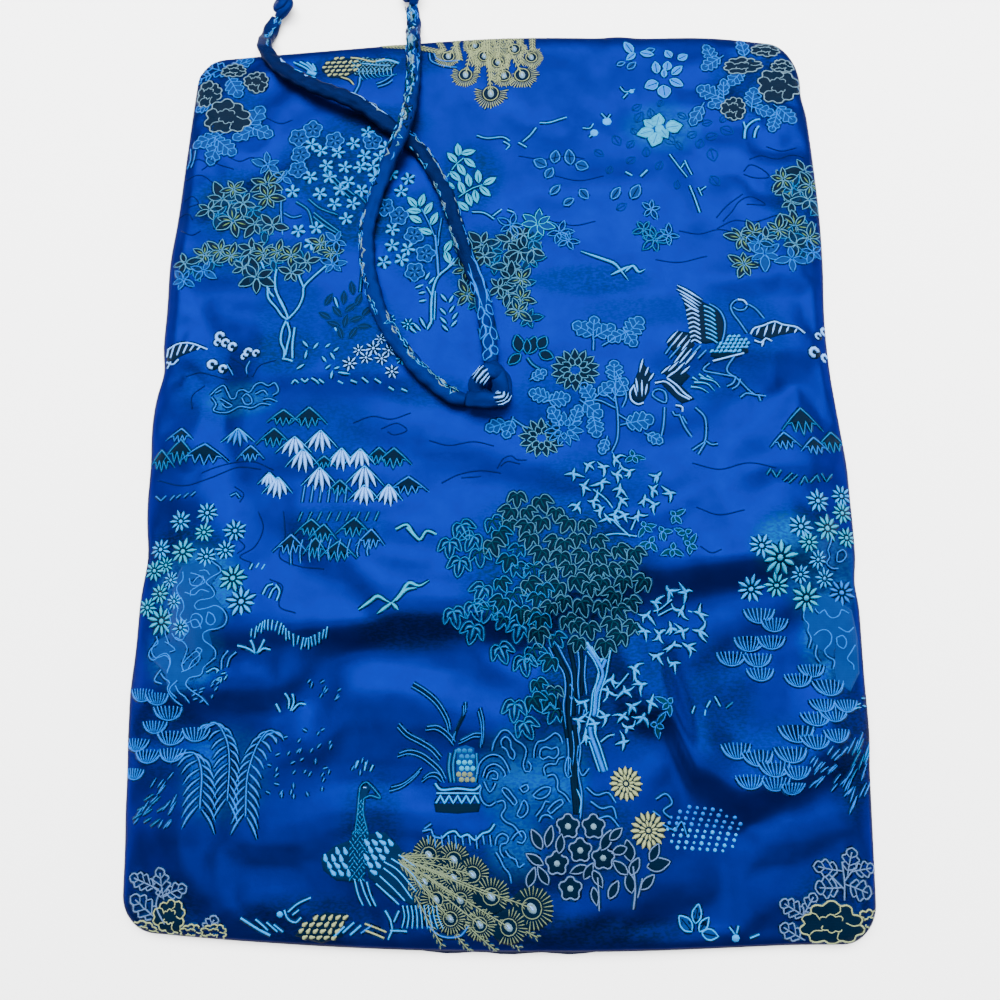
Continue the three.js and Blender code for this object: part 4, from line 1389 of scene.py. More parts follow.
herringbone("teal", PEACOCK_BREAST, 1.3, -90)
herringbone("teal", PEACOCK_NECK, 1.1, -90)
PEACOCK_GROUNDS = strokes("""
-36.6 -113.6 -30 -112.8 -26 -116.4 -17.6 -127.6 -21.6 -132 -30 -127.6 -34 -124.6;
-37.4 -102.4 -36.2 -100.4 -34.4 -101.4 -35.8 -104 -36 -108 -35 -112.4 -38 -113 -37.4 -108;
-47.6 -119.8 -44 -116.6 -39.6 -115 -39.2 -125.8 -43 -125.6 -46.8 -123
""")
for outline in (PEACOCK_BREAST, *PEACOCK_GROUNDS):
    fill("fir", outline)
UPPER_PHEASANT, PHEASANT_WING, LOWER_PHEASANT = strokes("""
-60 133.4 -59 136.6 -55 138.4 -50 138 -46 136 -48 132 -52 129.6 -57 130.2;
-50 136.4 -45 138 -38 137.2 -33 135.6 -36 132.4 -42 131 -48 130.6;
-54.4 -140 -51 -136.4 -46 -133.8 -40.2 -134.2 -41 -140 -47 -142
""")
for outline in (UPPER_PHEASANT, PHEASANT_WING, LOWER_PHEASANT):
    fill("ink", outline)
pearls("gold", UPPER_PHEASANT, 2.0, 1.7, 200)
herringbone("sage", PHEASANT_WING, 1.3, 0)
pearls("gold", LOWER_PHEASANT, 2.0, 1.7, -140)
sew_chart("""
ice 0.9: -63 132.4 -66 135 -70 137; -62.8 133 -65 135.6 -67.8 137.2; -62.4 133.4 -63.8 135.6 -65.4 137;
-62 133.4 -62.6 135 -63.4 136.4; ice 2.2: -65 133.2 -61.8 131.8; gold 0.8: -50 138.2 -46 137.4 -42 136.2
-38 137.2; ice 1.2: -41 136.2 -37 136.8 -33 135.4; gold 0.7: -53 130.2 -50 129 -48.4 127; sky 0.8: -46.4
130 -46.6 127 -48.6 122.6; sky 0.7: -59.6 126.4 -57.6 128; -58 125.4 -56.6 127.8; -40.6 127.2 -38 128.4
-34.8 131; -40.2 126 -37 127.2 -35 128.8; ice 0.6: -46 135.6 -41 134.8 -36 134.6; ice 0.8: -69 -135.2
-64.6 -138.2 -61 -140; ice 0.6: -65 -135.6 -61.6 -138.6; -62 -136.4 -59 -139; -60 -137 -57.4 -139; -57
-133 -56 -135.4 -54 -136.4 -52.4 -135; -56 -133.6 -53.6 -131.6 -50 -130; ice 0.5: -54.8 -134.4 -53 -133;
ice 0.7: -41 -139 -38 -136.4; -39 -139.6 -36 -137; -43.4 -140 -40.6 -137.4; sky 0.6: -36 -139 -33 -137;
gold 0.6: -35 -136.6 -29 -138.6; -35 -138.2 -29.6 -140.2
""")
for step in range(9):
    foot = -47 + 1.4 * step
    sew("ice", [(foot, 133.4), (foot + 0.6, 130.6), (foot + 2, 128.6 + 0.3 * step)], 0.5, "tail")
dot("ice", -58.2, -134.2, 1.8)
print("pheasants and a peacock are charted")

# %% [markdown]
# ## The garden, part three: the upper right and the middle
# Open flowers and loose leaves fill the upper right. Chrysanthemums and lobed leaves stand below.

# %% Chart the loose leaves
# x, y, length, width, way it points
SKY_LEAVES = chart("""
15.2 95 4.6 3.6 150; 20.2 97.4 4.8 3.2 80; 25 97.2 5.8 3.2 95; 29 93.8 4.2 3.8 -20; 18.2 91.2 4.4 2.8 60;
20 84.8 4.6 2.2 45; 29.4 83 4 2.8 -50; 24.4 80.6 3.8 2.2 30; 39.8 83.2 4.8 2.4 55; 46.2 83.6 5.2 3.2 60;
53.2 138 3.6 2 20; 46.8 132.4 3.8 2.2 40; 43.2 133.2 2.8 1.6 20
""")
for x, y, length, width, turn in SKY_LEAVES:
    leaf((x, y), length, width, turn, "sky", "haze", "ink", 0.6)
DIM_LEAVES = chart("""
48 116 3.6 2.4 30; 48.6 112.2 4.6 3 60; 52.6 113.6 3.8 2.6 100; 63 112.2 3.6 2.2 -30; 66 105.4 3.6 2.6 30;
68.4 102 3.8 2.8 70; 72.4 104.6 4.2 3 20; 77.6 106.6 4.6 3.6 -30; 40.8 103.2 4.2 3 -60; 45.4 101.8 3.6 2.4
50; 58.4 103 4.4 3.4 -40; 72.2 97.4 4.6 3.6 -80; 50.4 98.6 3.8 2.6 90; 45.2 95.6 3.6 2.6 40; 54.4 93.2 3.8
2.4 60; 34.8 98.6 3.6 2.6 -40; 61.4 101 3.6 2.4 -60; 56 117.4 3 2 60; 41.6 78.6 3.8 2.4 30; 72.6 88 4.4
3.2 -60; 46.6 106.6 3 2 120; 76.6 111 3.2 2.2 50; 71.2 109.6 3.4 2.2 10; 38 92 3.4 2.2 70; 60 86.4 3.4 2
80
""")
for x, y, length, width, turn in DIM_LEAVES:
    leaf((x, y), length, width, turn, "haze", None, "haze", 0.4)
print("loose leaves:", len(SKY_LEAVES) + len(DIM_LEAVES))

# %% Chart the open flowers
ICE_PETALS = chart("""
55 131.2 4.8 2.6 95; 58.8 131.6 3.4 2.8 80; 62 129.8 4.6 2.4 40; 53.2 124.4 4.6 3.8 200; 57.4 121.8 4.8
4.4 -85; 61.6 125.2 4.8 2.8 -30; 57.6 128.8 3 1.8 90; 46 139.4 5.2 2.8 120; 52.2 136.8 4.6 2.2 -12; 46.6
135.8 3.8 2 220; 59.4 136.4 3.2 2.6 120; 64.2 135 3.6 2.8 30; 52 -136 5 3.2 130; 55.2 -133.6 5 2.6 78; 57
-136.2 4.4 2 50; 58.4 -138.6 4.4 2.8 -10
""")
for x, y, length, width, turn in ICE_PETALS:
    leaf((x, y), length, width, turn, "ice", "sky" if y > 0 else "haze", "ink", 0.6)
JADE_PETALS = chart("""
54.8 110.8 5 4.2 75; 51.8 109.6 4.2 3.2 140; 60 108.2 5.6 4.6 12; 50.4 106 5.8 3.8 195; 53.4 103.2 5.6 4.6
250; 56.6 105.4 4 3 -60
""")
for x, y, length, width, turn in JADE_PETALS:
    petal((x, y), length, width, turn, "jade", "jade", 2)
dot("jade", 55.2, 107.2, 3.4)
for x, y, length, width, turn in JADE_PETALS:
    sew("teal", turned([(-length * 0.42, 0), (length * 0.28, 0)], turn, (x, y)), 0.45)
print("petals:", len(ICE_PETALS) + len(JADE_PETALS))

# %% Chart the twigs and the faint lines
sew_chart("""
ice 0.6: 58 97.6 61 93 63.6 89.4; 63 95.6 64 93 65.2 90.4; ice 0.5: 61.6 92.6 62.8 94.6; ice 0.65: 64.2
86.4 65.6 82 67 76.4; ice 0.5: 67 85.8 68 82.6; 67.6 84.6 69.6 86; ice 0.8: 43.2 91 45.4 89.4; 48 89 50.4
91.6; dusk 0.42: 82 91 84 93 88 91 90 88.6 86 88.2 82 90; 74 72.6 77 76 80 80 84 81.4 88 78.4 82 78.6; 72
74 76 78.6 81 82.4; -98 100.4 -93 97.4 -88 95.6; -78 115 -73 112.6 -69 114; -104 92 -99 93.6 -95 91; -104
73 -100 71 -97 72.4; -16 -13.4 -11 -10.8 -4 -9.6 2 -10.4; -10 -11.8 -4 -11.4; 1 -9 3 -6 5.4 -5.2 7 -6.4 10
-6.6; 2 -8.4 4 -7 8 -7.8; -98 22 -94 23.2 -90 22.4 -85 21; -95 11 -95.4 15 -92 19; -84 28 -80 25.4 -77.6
21; -76 21 -74 24.6 -69 26.4; -35 4 -30 5.6 -27 3.4 -31 2 -33 3; -104 -12 -95 -14 -88 -12 -80 -8 -72 -8.6;
-90 -10 -82 -6.6 -74 -6.4 -68 -9; -80 -14 -77 -16.4 -78 -19; -72 -22 -70 -27 -72 -33 -76 -36 -72 -38; -64
-22 -63 -30 -64 -36 -58 -39 -50 -40; -66 -43 -62 -45 -62 -51 -57 -53; 84 95 88 96.4 93 95 98 96.6 102
95.4; 90 100 95 98.4 100 99.6; 72 70 78 73 84 72.4 92 74.6; 60 70 66 68.4 72 69.6 78 68.6; -104 98 -100
99.4 -97 97.6 -99 95.6; -104 84 -101 85.4 -99 83 -102 81.4; -106 78 -102 79 -100 76.4; -90 100 -86 98.4
-82 99.8 -78 98.4; 8 98 16 96.4 24 97.6 30 96.6; 20 90 28 88 36 89.6; 52 60 60 58.6 68 60; 20 74 26 72.6
33 73.8; -44 6 -38 8 -32 7 -26 9; -20 0 -14 -1.6 -6 -0.6 0 -2; 60 -8 68 -10 76 -8.6 84 -10.4; 60 -22 66
-24.4 74 -23; -78 -30 -75 -33 -77 -35; 60 -34 63 -36 66 -35
""")
print("threads in use:", sorted(thread_runs))

# %% Chart the chrysanthemums and lobed leaves
chrysanthemum((25.4, 22.6), 7.6, 0.92, "sage", "ink", 14)
chrysanthemum((14.6, 0.6), 7.0, 0.9, "sage", "ink", 13)
chrysanthemum((21.6, 3.4), 6.0, 0.9, "sky", "haze", 11)
CUP_LEAVES = chart("""
7.6 31.6 6 3.4 100; 12 31 6.2 3.6 70; 15.2 31.8 4.6 3.4 60; 16.4 27.6 4.6 3.2 -20; 6.4 26.4 5 2.8 220;
10.4 30.6 5 2.4 90
""")
for x, y, length, width, turn in CUP_LEAVES:
    leaf((x, y), length, width, turn, "teal", "ink")
sew("teal", [(10.4, 26.8), (12, 24.6), (14.4, 23)], 0.7)
LOBED_LEAVES = chart("""
28 36.4 7 5.6 150 2; 31.6 37.4 6.6 5 85 2; 35.4 35.6 6.6 5.2 30 2; 44.4 37 7.6 6.6 50 3; 43 32.8 6 4.6 -60
2; 38.6 33.6 6 4.4 205 2; 37.6 22.4 6.6 5.6 90 3; 39.4 16.8 6.4 5 60 2; 45 5.6 8.4 6.4 10 3; 14.2 21.2 5
3.8 30 2; 14 14.4 6.6 5 160 3; 20.4 13 6.6 5.4 10 3; 29 15.4 6.6 5 120 3; 30.6 9.4 7 5.6 -40 2; 31.2 3.8
6.6 5.4 -80 3; 0.4 4.6 6.4 4.8 200 2; 4.4 3.4 6 4.4 250 2; 35 16.4 6 4.4 40 2; 25.6 8.4 5.6 4.2 70 2; 49.4
0 5 3.8 -30 2; 33.6 -2.4 5 3.6 250 2; 18.6 8 5.6 4.4 120 2
""")
for x, y, length, width, turn, lobes in LOBED_LEAVES:
    lobed_leaf((x, y), length, width, turn, "sky", lobes)
sew_chart("""
sky 0.55: 31.2 29 31.4 33; 34 30.6 38 33; 38 20 37.6 14 38.2 8 37.8 0 36 -4; 38.2 8 42 5.4; 37.6 12 34 15;
28 12 32 12.6 37.6 10; 5.6 7 8 5.2 10.4 3.6; 36 -4 38.4 -8 36.4 -12; 38 22 41 14 39.6 10
""")
print("lobed leaves:", len(LOBED_LEAVES))

# %% [markdown]
# ## The garden, part four: bamboo and daisies
# A clump of bamboo grows in the middle left, pale in the light and dark in the shade. Daisies hang over
# both sides, above rocks drawn with winding lines.

# %% Chart the flowers on the ground
GROUND_DASHES = chart("""
-60 32 -50 3; -56.6 31.4 55 2.6; -52.8 31.4 40 2; -59.6 28.4 80 3; -53.6 26.6 -55 2.6; -52.2 24 40 2.2;
-51 27.6 -60 3; -61 24.2 35 3; -50 30 40 2.2; -47 21.8 -10 4; -51 21.4 80 2.6; -49.4 23.6 20 2; -51 46.6
-70 4; -50.6 37 -60 2.4; -47.4 41 50 2
""")
for x, y, turn, length in GROUND_DASHES:
    dash("ice", x, y, turn, length, 0.9)
GROUND_FLOWERS = chart("""
-45.4 25 3.4; -38.2 30.2 3.6; -40.4 27 3; -35.4 26.6 3; -33.2 29.4 3.2; -42.8 29.6 2.8; -32 22.2 3.2; -36
33.4 2.6; -29 26.4 2.8; -27.6 38.6 3; -33.4 40.2 2.8
""")
for number, (x, y, radius) in enumerate(GROUND_FLOWERS):
    daisy((x, y), radius * 0.8, "rose" if number < 8 else "ice", 41 * number, 7)
sew_chart("""
ice 0.75: -63.6 18.6 -62.6 19.8 -61.4 18.8; -60.6 20.2 -59.4 19.2 -58.4 20.2; -57.4 20.4 -56 19.6 -55
18.6; -55 20 -53.4 18.8; -49 19.4 -47.4 18.6; -45 19.6 -43 18.8; -41.4 20.4 -39.4 18.8; -37.4 20 -35.4
18.6; -33 17.4 -31.4 16.4; -29 16.8 -27.2 16
""")
print("ground flowers:", len(GROUND_FLOWERS))

# %% Chart the orchids
ORCHIDS = chart("""
-88.4 35.6 3.4; -86.4 33.4 3; -84 32 3.2; -89 33.6 2.6; -78.4 29.6 3.2; -75.6 29 2.6; -90 26 3.4; -86.6
24.6 3; -79.6 28.2 2.4; 99.2 27 3.6; 102.8 25.4 3; 103.6 34.4 3; 101.2 32.6 2.4
""")
for x, y, size in ORCHIDS:
    fill("ink", disc((x, y), size * 0.62, 10))
    sew("rose", disc((x, y), size * 0.36, 9)[:-1], size * 0.42)
sew_chart("""
sky 0.5: -85.4 26 -84 24 -83 22.2; -77.4 26.4 -78.4 24 -78 22;
-90 15.6 -88 18 -86 19 -84.4 16.6 -83 14.4 -81.6 14.6 -81 16.6 -79 17 -77 16 -75 18.4 -73 19 -71
18 -69 19 -67.8 16.4 -69.6 15; -89.4 15 -87.8 12.6 -88.4 10.6 -84 10 -80 11.6 -76 11 -73 12.4 -70 12;
-86.6 14.6 -84.6 13.4 -82.6 12 -84.4 11.6 -86.2 13; -79.4 14.4 -78 15.6 -76.4 14.4 -76 12.6 -78 12.2 -79.4
14.4; -75 15.4 -72.4 16.6 -71 15; -72.6 13.6 -70.6 14 -68 13; -88.6 16.4 -86.6 17.6
""")
print("orchids:", len(ORCHIDS))

# %% Chart the bamboo
# x, y, half width, drop, line, body
BAMBOO = chart("""
-66 10.4 5.4 5 teal ink; -58 11.2 6.2 6.6 teal ink; -68.6 4.4 5.6 6 teal ink; -80 4.4 5.6 5 sky sky; -62
1.6 5.8 6 rose rose; -54 3.6 5.6 6.4 rose rose; -59 -2.4 5.6 6.6 rose rose; -53.6 -8.4 5.8 6.6 rose rose;
-66.6 -11.2 5 6 rose rose; -47.2 -2.2 5 6.4 rose rose; -41.4 -2.4 5 6 rose rose; -39.8 -8 6.2 7 rose rose;
-39.6 -14 5 5.6 rose rose; -32.2 -13.8 4.6 6 rose rose; -69.4 -9.8 3.6 4 rose rose; -52.4 -4.8 3.8 3.8
teal ink; -47.2 -12.4 4.2 4.6 teal ink; -35.6 -2 4.4 5 teal ink; -31 -2.2 6 6.4 teal ink; -26.2 -11.4 6.6
5.6 sky ink; -103 -2.6 4.4 6.4 teal ink; -97 0.6 5.4 7.6 teal ink; -89.6 -0.8 7.6 6.4 sky ink; -97.6 4.4
4.6 4.6 sky ink; -75.6 -1.2 4.6 5 sky ink; -55 -24.8 5 5.2 teal ink; -42 -24.4 5.4 6 teal ink; -61 -29.4
5.4 6 sky ink; -46 -31.8 6 6 teal ink; -36.6 -28 4.4 6 sky ink; -51 -26.4 4.4 5.6 teal ink; -53 -30.6 4 6
teal ink; 93.6 9 6.6 8.6 teal ink; 102.4 1.4 5.6 6.4 teal ink; 87.6 1 4.6 5.6 sky ink; 96.4 -0.6 4.8 5.6
sky ink
""")
for x, y, span, drop, line, body in BAMBOO:
    bamboo((x, y), span, drop, line, body)
for step in range(9):
    lean = -60 + 2.9 * step
    sew("sky", [(lean, -31), (lean - 0.6, -35), (lean - 0.2, -38.6 + 0.3 * step)], 0.45)
    sew("teal", [(lean + 2, -22.4), (lean + 1, -25.4)], 0.45)
for step in range(6):
    lean = -58 + 2.6 * step
    sew("sky", [(lean, -14), (lean - 0.4, -19.4)], 0.45)
print("bamboo fans:", len(BAMBOO))

# %% Chart the rocks
ROCK_LINES = strokes("""
-86 -36 -83.4 -38 -81.4 -39.4 -81 -40.6 -83.4 -42.4 -84.6 -43.8 -82.6 -45.6 -81.4 -47.6 -82.4 -48.6 -86
-49.4 -87 -50.8 -86 -52; -86 -52 -83.4 -51.6 -80.6 -50.8 -78.2 -52.2 -77 -54.4 -77.6 -56.4 -79.6 -57.4 -82
-57.8 -83.8 -58.8 -83.8 -60.6 -82 -62 -80.6 -63.6 -80.6 -65.6; -80.6 -65.6 -82.4 -67 -84 -68.4 -84.4 -70.4
-87.6 -71.4 -88.4 -73 -86.4 -75 -84 -76.6 -82 -79; -92.4 -40.6 -92 -43 -93.6 -45.4 -92.6 -47.6 -91 -49.4
-90.4 -51.6 -91.6 -53.6 -90 -55.4 -88.4 -57.4 -89.6 -59.4; -88.6 -44 -87.6 -42.4 -86 -42 -85.6 -43.4 -87
-45.2 -88.8 -46.4 -88.6 -48; -88 -55 -87.4 -53.4 -85.6 -53.2 -84.2 -54.6 -85 -56.6 -87 -57 -88 -55; -82.6
-52.6 -81 -53.6 -80.4 -55.4 -81.6 -56.4 -83 -55.4 -82.6 -52.6; -100 -59.4 -99.2 -61.4 -101 -63 -101.4 -65
-99.6 -66.4 -98 -65 -96 -64.4 -94.6 -65.6 -94 -67.6 -94.6 -69.4; -94.6 -58.6 -93 -60.4 -90.8 -61 -89.4
-62.8 -90 -65 -90.6 -67.6 -89.6 -69.6; -87 -64.6 -85.8 -62.8 -84.6 -63.4 -85.6 -65 -87.6 -66.6 -88.6 -69;
-96.4 -70 -95 -71.4 -93.2 -72.6 -93.6 -74.4 -92.6 -76.4 -91 -78.2 -89.6 -79.2; -91.4 -73.4 -90.2 -75.4
-88.6 -76.6 -87.4 -78.4; -84 -41.6 -85.4 -40.2 -87.4 -40.4; -97 -61 -95 -62 -93.4 -63.4 -95 -64; 99 -31
98.4 -33 97.4 -35 98 -36.8 97 -38.6 99 -40 101 -40; 100.8 -35.4 102.6 -34.6 103.6 -36 102 -38 100.6 -38
100.8 -35.4; 90.8 -51 90.2 -54.4 91.4 -56.2 91 -58 91.6 -60 90.6 -63; 93.6 -51.6 94.6 -53 96.2 -52 96.8
-53.4 98 -54.4 100 -53.6 101 -52 103 -53; 92.4 -59.4 94.2 -58 96 -57.8 97.2 -59.2 96.8 -61.6 95 -63.6 95.8
-65.2 97.6 -66.4 97 -68.8; 98.6 -60 100.4 -59.4 101.4 -61 100.6 -63 98.8 -62 98.6 -60; 104 -62 102.6 -64
101.4 -66 103 -67.6 103 -69; 99.4 -57 102 -58.4 104 -57; 93 -62 92.4 -65 93.6 -67; -0.4 -91.4 0.2 -89 1.4
-87 2.4 -85.8 3.8 -85.6 5.2 -86.8 6.4 -88.4 8 -89.4 9.2 -91 9 -93 8.4 -95 9 -97 10.2 -97 10.6 -95.4 9.6
-94.2; 2.4 -90.2 2.2 -88.6 3.4 -87.4 4.8 -88.6 5 -90.4 6 -92 5.6 -93.8 4.6 -93.2 3.6 -91 2.4 -90.2; -4.6
-98 -4 -95 -2 -93 0 -92.4 2 -93 3.6 -95 4.6 -97.4; -3 -98.6 -2 -96 0 -95 2 -95.8 3.4 -98 2.8 -98.6; -2 -99
-1.4 -97.4 0 -96.8 1.2 -97.6 1 -99 -0.4 -98.8; -3.4 -101 -3.8 -103 -2.6 -105.4 -1 -106 0.6 -105; -2.6
-99.6 -2 -101 -1 -102.4 0 -101.4 0.6 -100; 2.4 -101.8 2.8 -101.2 4 -101.6 5.2 -103 6.6 -105 6 -105.8 4.6
-104.4 3.2 -103 2.4 -101.8; 8 -105 8.6 -104.4 9.6 -106 9.4 -107.6 7.6 -109 6.6 -108.4 7.4 -106.6 8 -105;
7.4 -101.2 8.4 -102.4 9.8 -101.6 9.4 -100.4 7.4 -101.2; 11 -103.2 12.6 -101.8 14.4 -101 16 -101.2 15.6
-102.6 14.4 -103.6 12.4 -104 11 -103.2; 11.4 -93.4 11.6 -91 12.6 -89 14.4 -88.6 16 -87.6 17.6 -86.6 19
-87.6 19.6 -89.6; 13 -93 13.4 -91 15 -90.4 16.4 -91 18 -90.4 18.4 -92.2 17 -93.6 15.6 -93 14 -93.8 13 -93;
14.6 -98 14.2 -96 15.6 -95 17.6 -95 18.4 -93.6 20 -93; 15 -98.2 17 -97.8 18 -99.4 18 -101.6 20 -103 21.4
-105; 15 -107 17 -105 19 -104.2 19.4 -105 17.4 -106.6 15.8 -107.8 15 -107; 21 -93 21.8 -93.6 21.6 -96 22
-98 21 -98.6 20.2 -97 20.4 -94.6 21 -93; 1 -105 2.8 -104.6 3.4 -106.4 2.2 -108.4 3.4 -110 5.6 -111 7
-112.6 8 -114; 5 -114.6 6.4 -113 8.2 -112.4 9 -114 8 -115.4 6.6 -115; 0.6 -116 1 -114 2.6 -113 4.2 -114
3.6 -115.4 2.2 -115.6 2 -117.6 3 -119; 0.8 -117.6 2 -119.4 3 -121.4 4.4 -123 5 -125.6; 3.4 -117.2 4.6
-118.8 6.2 -119.4 7 -121.4 8.6 -120.4; 11.8 -108.6 13.6 -106.4 14.6 -104.6 15.6 -104.8; 12.6 -110 13.6
-108.4 15.2 -108.2 16.6 -109.2; 24 -90 23.6 -94 25 -98 27 -96; 26 -101 28.6 -103 32 -102.4 34 -105; 27
-104.6 30 -106.4 33 -106 34 -109; 29 -109 32 -108.4 34.6 -111; 45 -104 48 -102.6 49.6 -105 47 -107 49
-109; 46.4 -110.4 50 -112 52 -110 53.4 -113.6; 44 -107 46 -108.4;
-89.9 -41 -87.1 -41.8 -85 -43.7 -86.8 -44.9 -89.2 -44.5 -90 -42.6; -90.6 -46.8 -87.4 -47.6 -85.9 -46.1
-83.1 -46.8; -93.4 -59.7 -91 -60.5 -89.4 -58.6; -93.3 -46.8 -94.3 -49.1 -92.6 -51.4 -92.7 -54.5 -89.8
-55.9 -86.1 -54.8 -84.3 -57.4; -99.5 -60.5 -100.8 -63.5 -99.1 -65.7 -96.1 -65 -94.4 -66.4 -94.4 -70.1;
-90.8 -67.9 -89.1 -65.7 -86.1 -63.8 -85.2 -65.6 -88 -68.6 -90.3 -69.7; -96 -52 -95 -56 -97 -58 -95.4 -62;
-91 -72 -93 -74.6 -91 -77; -96.6 -69 -98 -72 -95.4 -73
""")
for points in ROCK_LINES:
    sew("sky", points, 0.5)
LEFT_ROCK, RIGHT_ROCK = strokes("""
-93 -39 -88 -37.4 -83 -38.4 -81 -41 -83.6 -44 -81.4 -48 -78 -51.6 -78.4 -56 -82 -58.6 -81 -64 -84 -70 -88 -75
-93 -76 -95 -70 -100.6 -66 -100.4 -61 -96 -59 -94.6 -52 -95 -45;
90 -50 95 -47 100 -49 104 -52 105 -60 104.6 -70 101 -75 97 -72 98 -66 93 -63 90 -57
""")
for outline in (LEFT_ROCK, RIGHT_ROCK):
    fill("haze", outline)
print("rock lines:", len(ROCK_LINES))

# %% Chart the shrub and the daisies
# x, y, turn
SHRUB_LEAVES = chart("""
-53.5 47.7 60; -50.7 43.5 130; -48.6 48.3 90; -46.2 44.8 40; -43.7 47.6 70; -51.5 39 160; -47.6 40 80;
-44.1 40.6 20; -40.9 43.4 50; -49.1 35.9 110; -44.9 35.8 60; -41.4 37.9 0; -54.6 42.1 150; -46 51.6 100
""")
for x, y, turn in SHRUB_LEAVES:
    leaf((x, y), 5.0, 2.3, turn, "haze", "fir", "haze", 0.34)
# x, y, radius, thread
DAISIES = chart("""
-95.4 -25 3.6 ice; -87 -22.6 3.5 ice; -87.4 -28.6 3.2 jade; -78.4 -28 3.7 ice; -100.8 -33.6 3.5 ice; -93.2
-34.4 4.2 jade; -80.6 -34 3.2 ice; -86 -36 3.2 ice; -77 -42.6 4.4 jade; -73.4 -49.6 4.6 ice; -96.2 -43 2.9
ice; -99.6 -47 3.4 jade; -98.6 -55 4.7 jade; -91.4 -57 3.2 ice; -102.4 -40 3.4 jade; -94 -49.4 2.8 ice;
-98.6 -38.4 2.8 jade; -103.6 -51 3.2 jade; 95.6 -20.4 3.8 ice; 103.8 -18.4 3.6 ice; 89.2 -28.4 3.9 ice;
97.6 -28.6 4.4 jade; 103.4 -23.6 3.6 jade; 77.4 -34 3.9 ice; 82.6 -37.4 5.2 jade; 91 -33 3.3 jade; 94
-37.8 3 ice; 75 -46 4.2 ice; 82.4 -45 3.8 jade; 89.2 -42 3 ice; 91 -48.6 4.7 jade; 96.6 -43 3.2 ice; 101.6
-47 4 sky; 104.2 -31 3.4 jade
""")
for number, (x, y, radius, thread) in enumerate(DAISIES):
    daisy((x, y), radius, thread, 23 * number)
ZIGZAGS = strokes("""
-104 -17 -102 -18.6 -100.4 -17; -99 -18.6 -97.6 -17; -97 -18 -95.6 -16.8; -94.6 -17.8 -93.2 -16.4; -92.4
-17.4 -91 -16; -81 -17 -79.4 -16 -78 -17.6; 81.2 -12.4 82.4 -10.6; 82.8 -11 84 -13.2 85.4 -11; 86 -14.4
88.6 -12; 87.4 -15 90 -12.6; 90.6 -15.6 92.2 -13 93 -15; 93.6 -15 96 -12.6 96.8 -14.6; 97.4 -12 99 -14.4
101 -12; 66 -79.6 68 -78
""")
for points in ZIGZAGS:
    sew("sky" if points[0][0] < 0 else "teal", points, 0.45, curved=False)
print("daisies:", len(DAISIES))

# %% [markdown]
# ## The garden, part five: the great tree, pines and ferns
# The tree in the lower middle is a mass of hooded ivy leaves with maple at its sides. Pines, ferns and
# grass fill both lower sides, and a pot of orchids stands beside the tree.

# %% Chart the great tree's trunks
sew_chart("""
ink 1.6: 17 -62 19.6 -67 21.6 -72 21.4 -80 22 -88 22.2 -98 22.8 -108; 22 -62 23.4 -70 22.8 -80 23.4 -90 23
-100 23.6 -108; ink 1.4: 18 -77 19.8 -82 21 -88; ink 1.2: 25.4 -63 25.6 -70 25 -78 24.6 -84; sky 0.5: 16
-62.6 18 -66.6 20.2 -70 20.6 -75 20 -79 20.6 -85 21.2 -91 21 -98; 18.6 -62 20.6 -66 22.4 -70 22.4 -76 22
-82; 24.2 -62 24.8 -67 24.2 -73 24.6 -79 24 -85 24.6 -91 23.8 -97 24.6 -103 24 -109; 26.8 -65 26.2 -71
26.6 -76 25.6 -82; 22 -73 21.6 -75.6 22.4 -77.4 23 -75 22 -73; sky 0.45: 22.4 -86 22.8 -91 22.2 -96; ice
1.1: 27 -61.2 28.6 -63.8 30.2 -66.8; ice 1: 32.8 -61 32 -64 31 -67; sky 1.5: 27.2 -62.4 30.4 -67.1 31.5
-70.2 29.6 -75.6 28.9 -80.8 27.5 -85.5 29.2 -91.5 31 -97; sky 1.3: 33.1 -62.6 32.4 -66 31.2 -69; ice 0.6:
26.4 -62.6 29.4 -67 30.4 -70.4 28.5 -75.4 27.8 -80.8 26.5 -85.6 28 -91.4 29.8 -97; 28.4 -62.4 30.8 -66 32
-66 32.4 -62.6; 34 -62.8 33.2 -66.6 32.4 -70.6 30.6 -75.8 29.9 -80.8 28.7 -85.4 30.4 -91 32 -96.6; ice
0.5: 30.2 -70 29 -76 28.6 -82; ice 0.6: 30.4 -89 32.6 -87.4 34.4 -87; 34 -24 37 -27.6 40 -31; 42 -25.6
40.4 -29; ice 0.55: 30 -16 34 -19.4 37 -24.6; 52 -49 48 -52 44 -52.4; 58 -52.6 53 -51.4 48 -53.6; 40 -68
36 -73 31.4 -78; ice 0.6: 23 -101 24.4 -104.6 23.6 -108; ice 0.55: 30 -31 36 -30 42 -31
""")
print("trunks are charted")

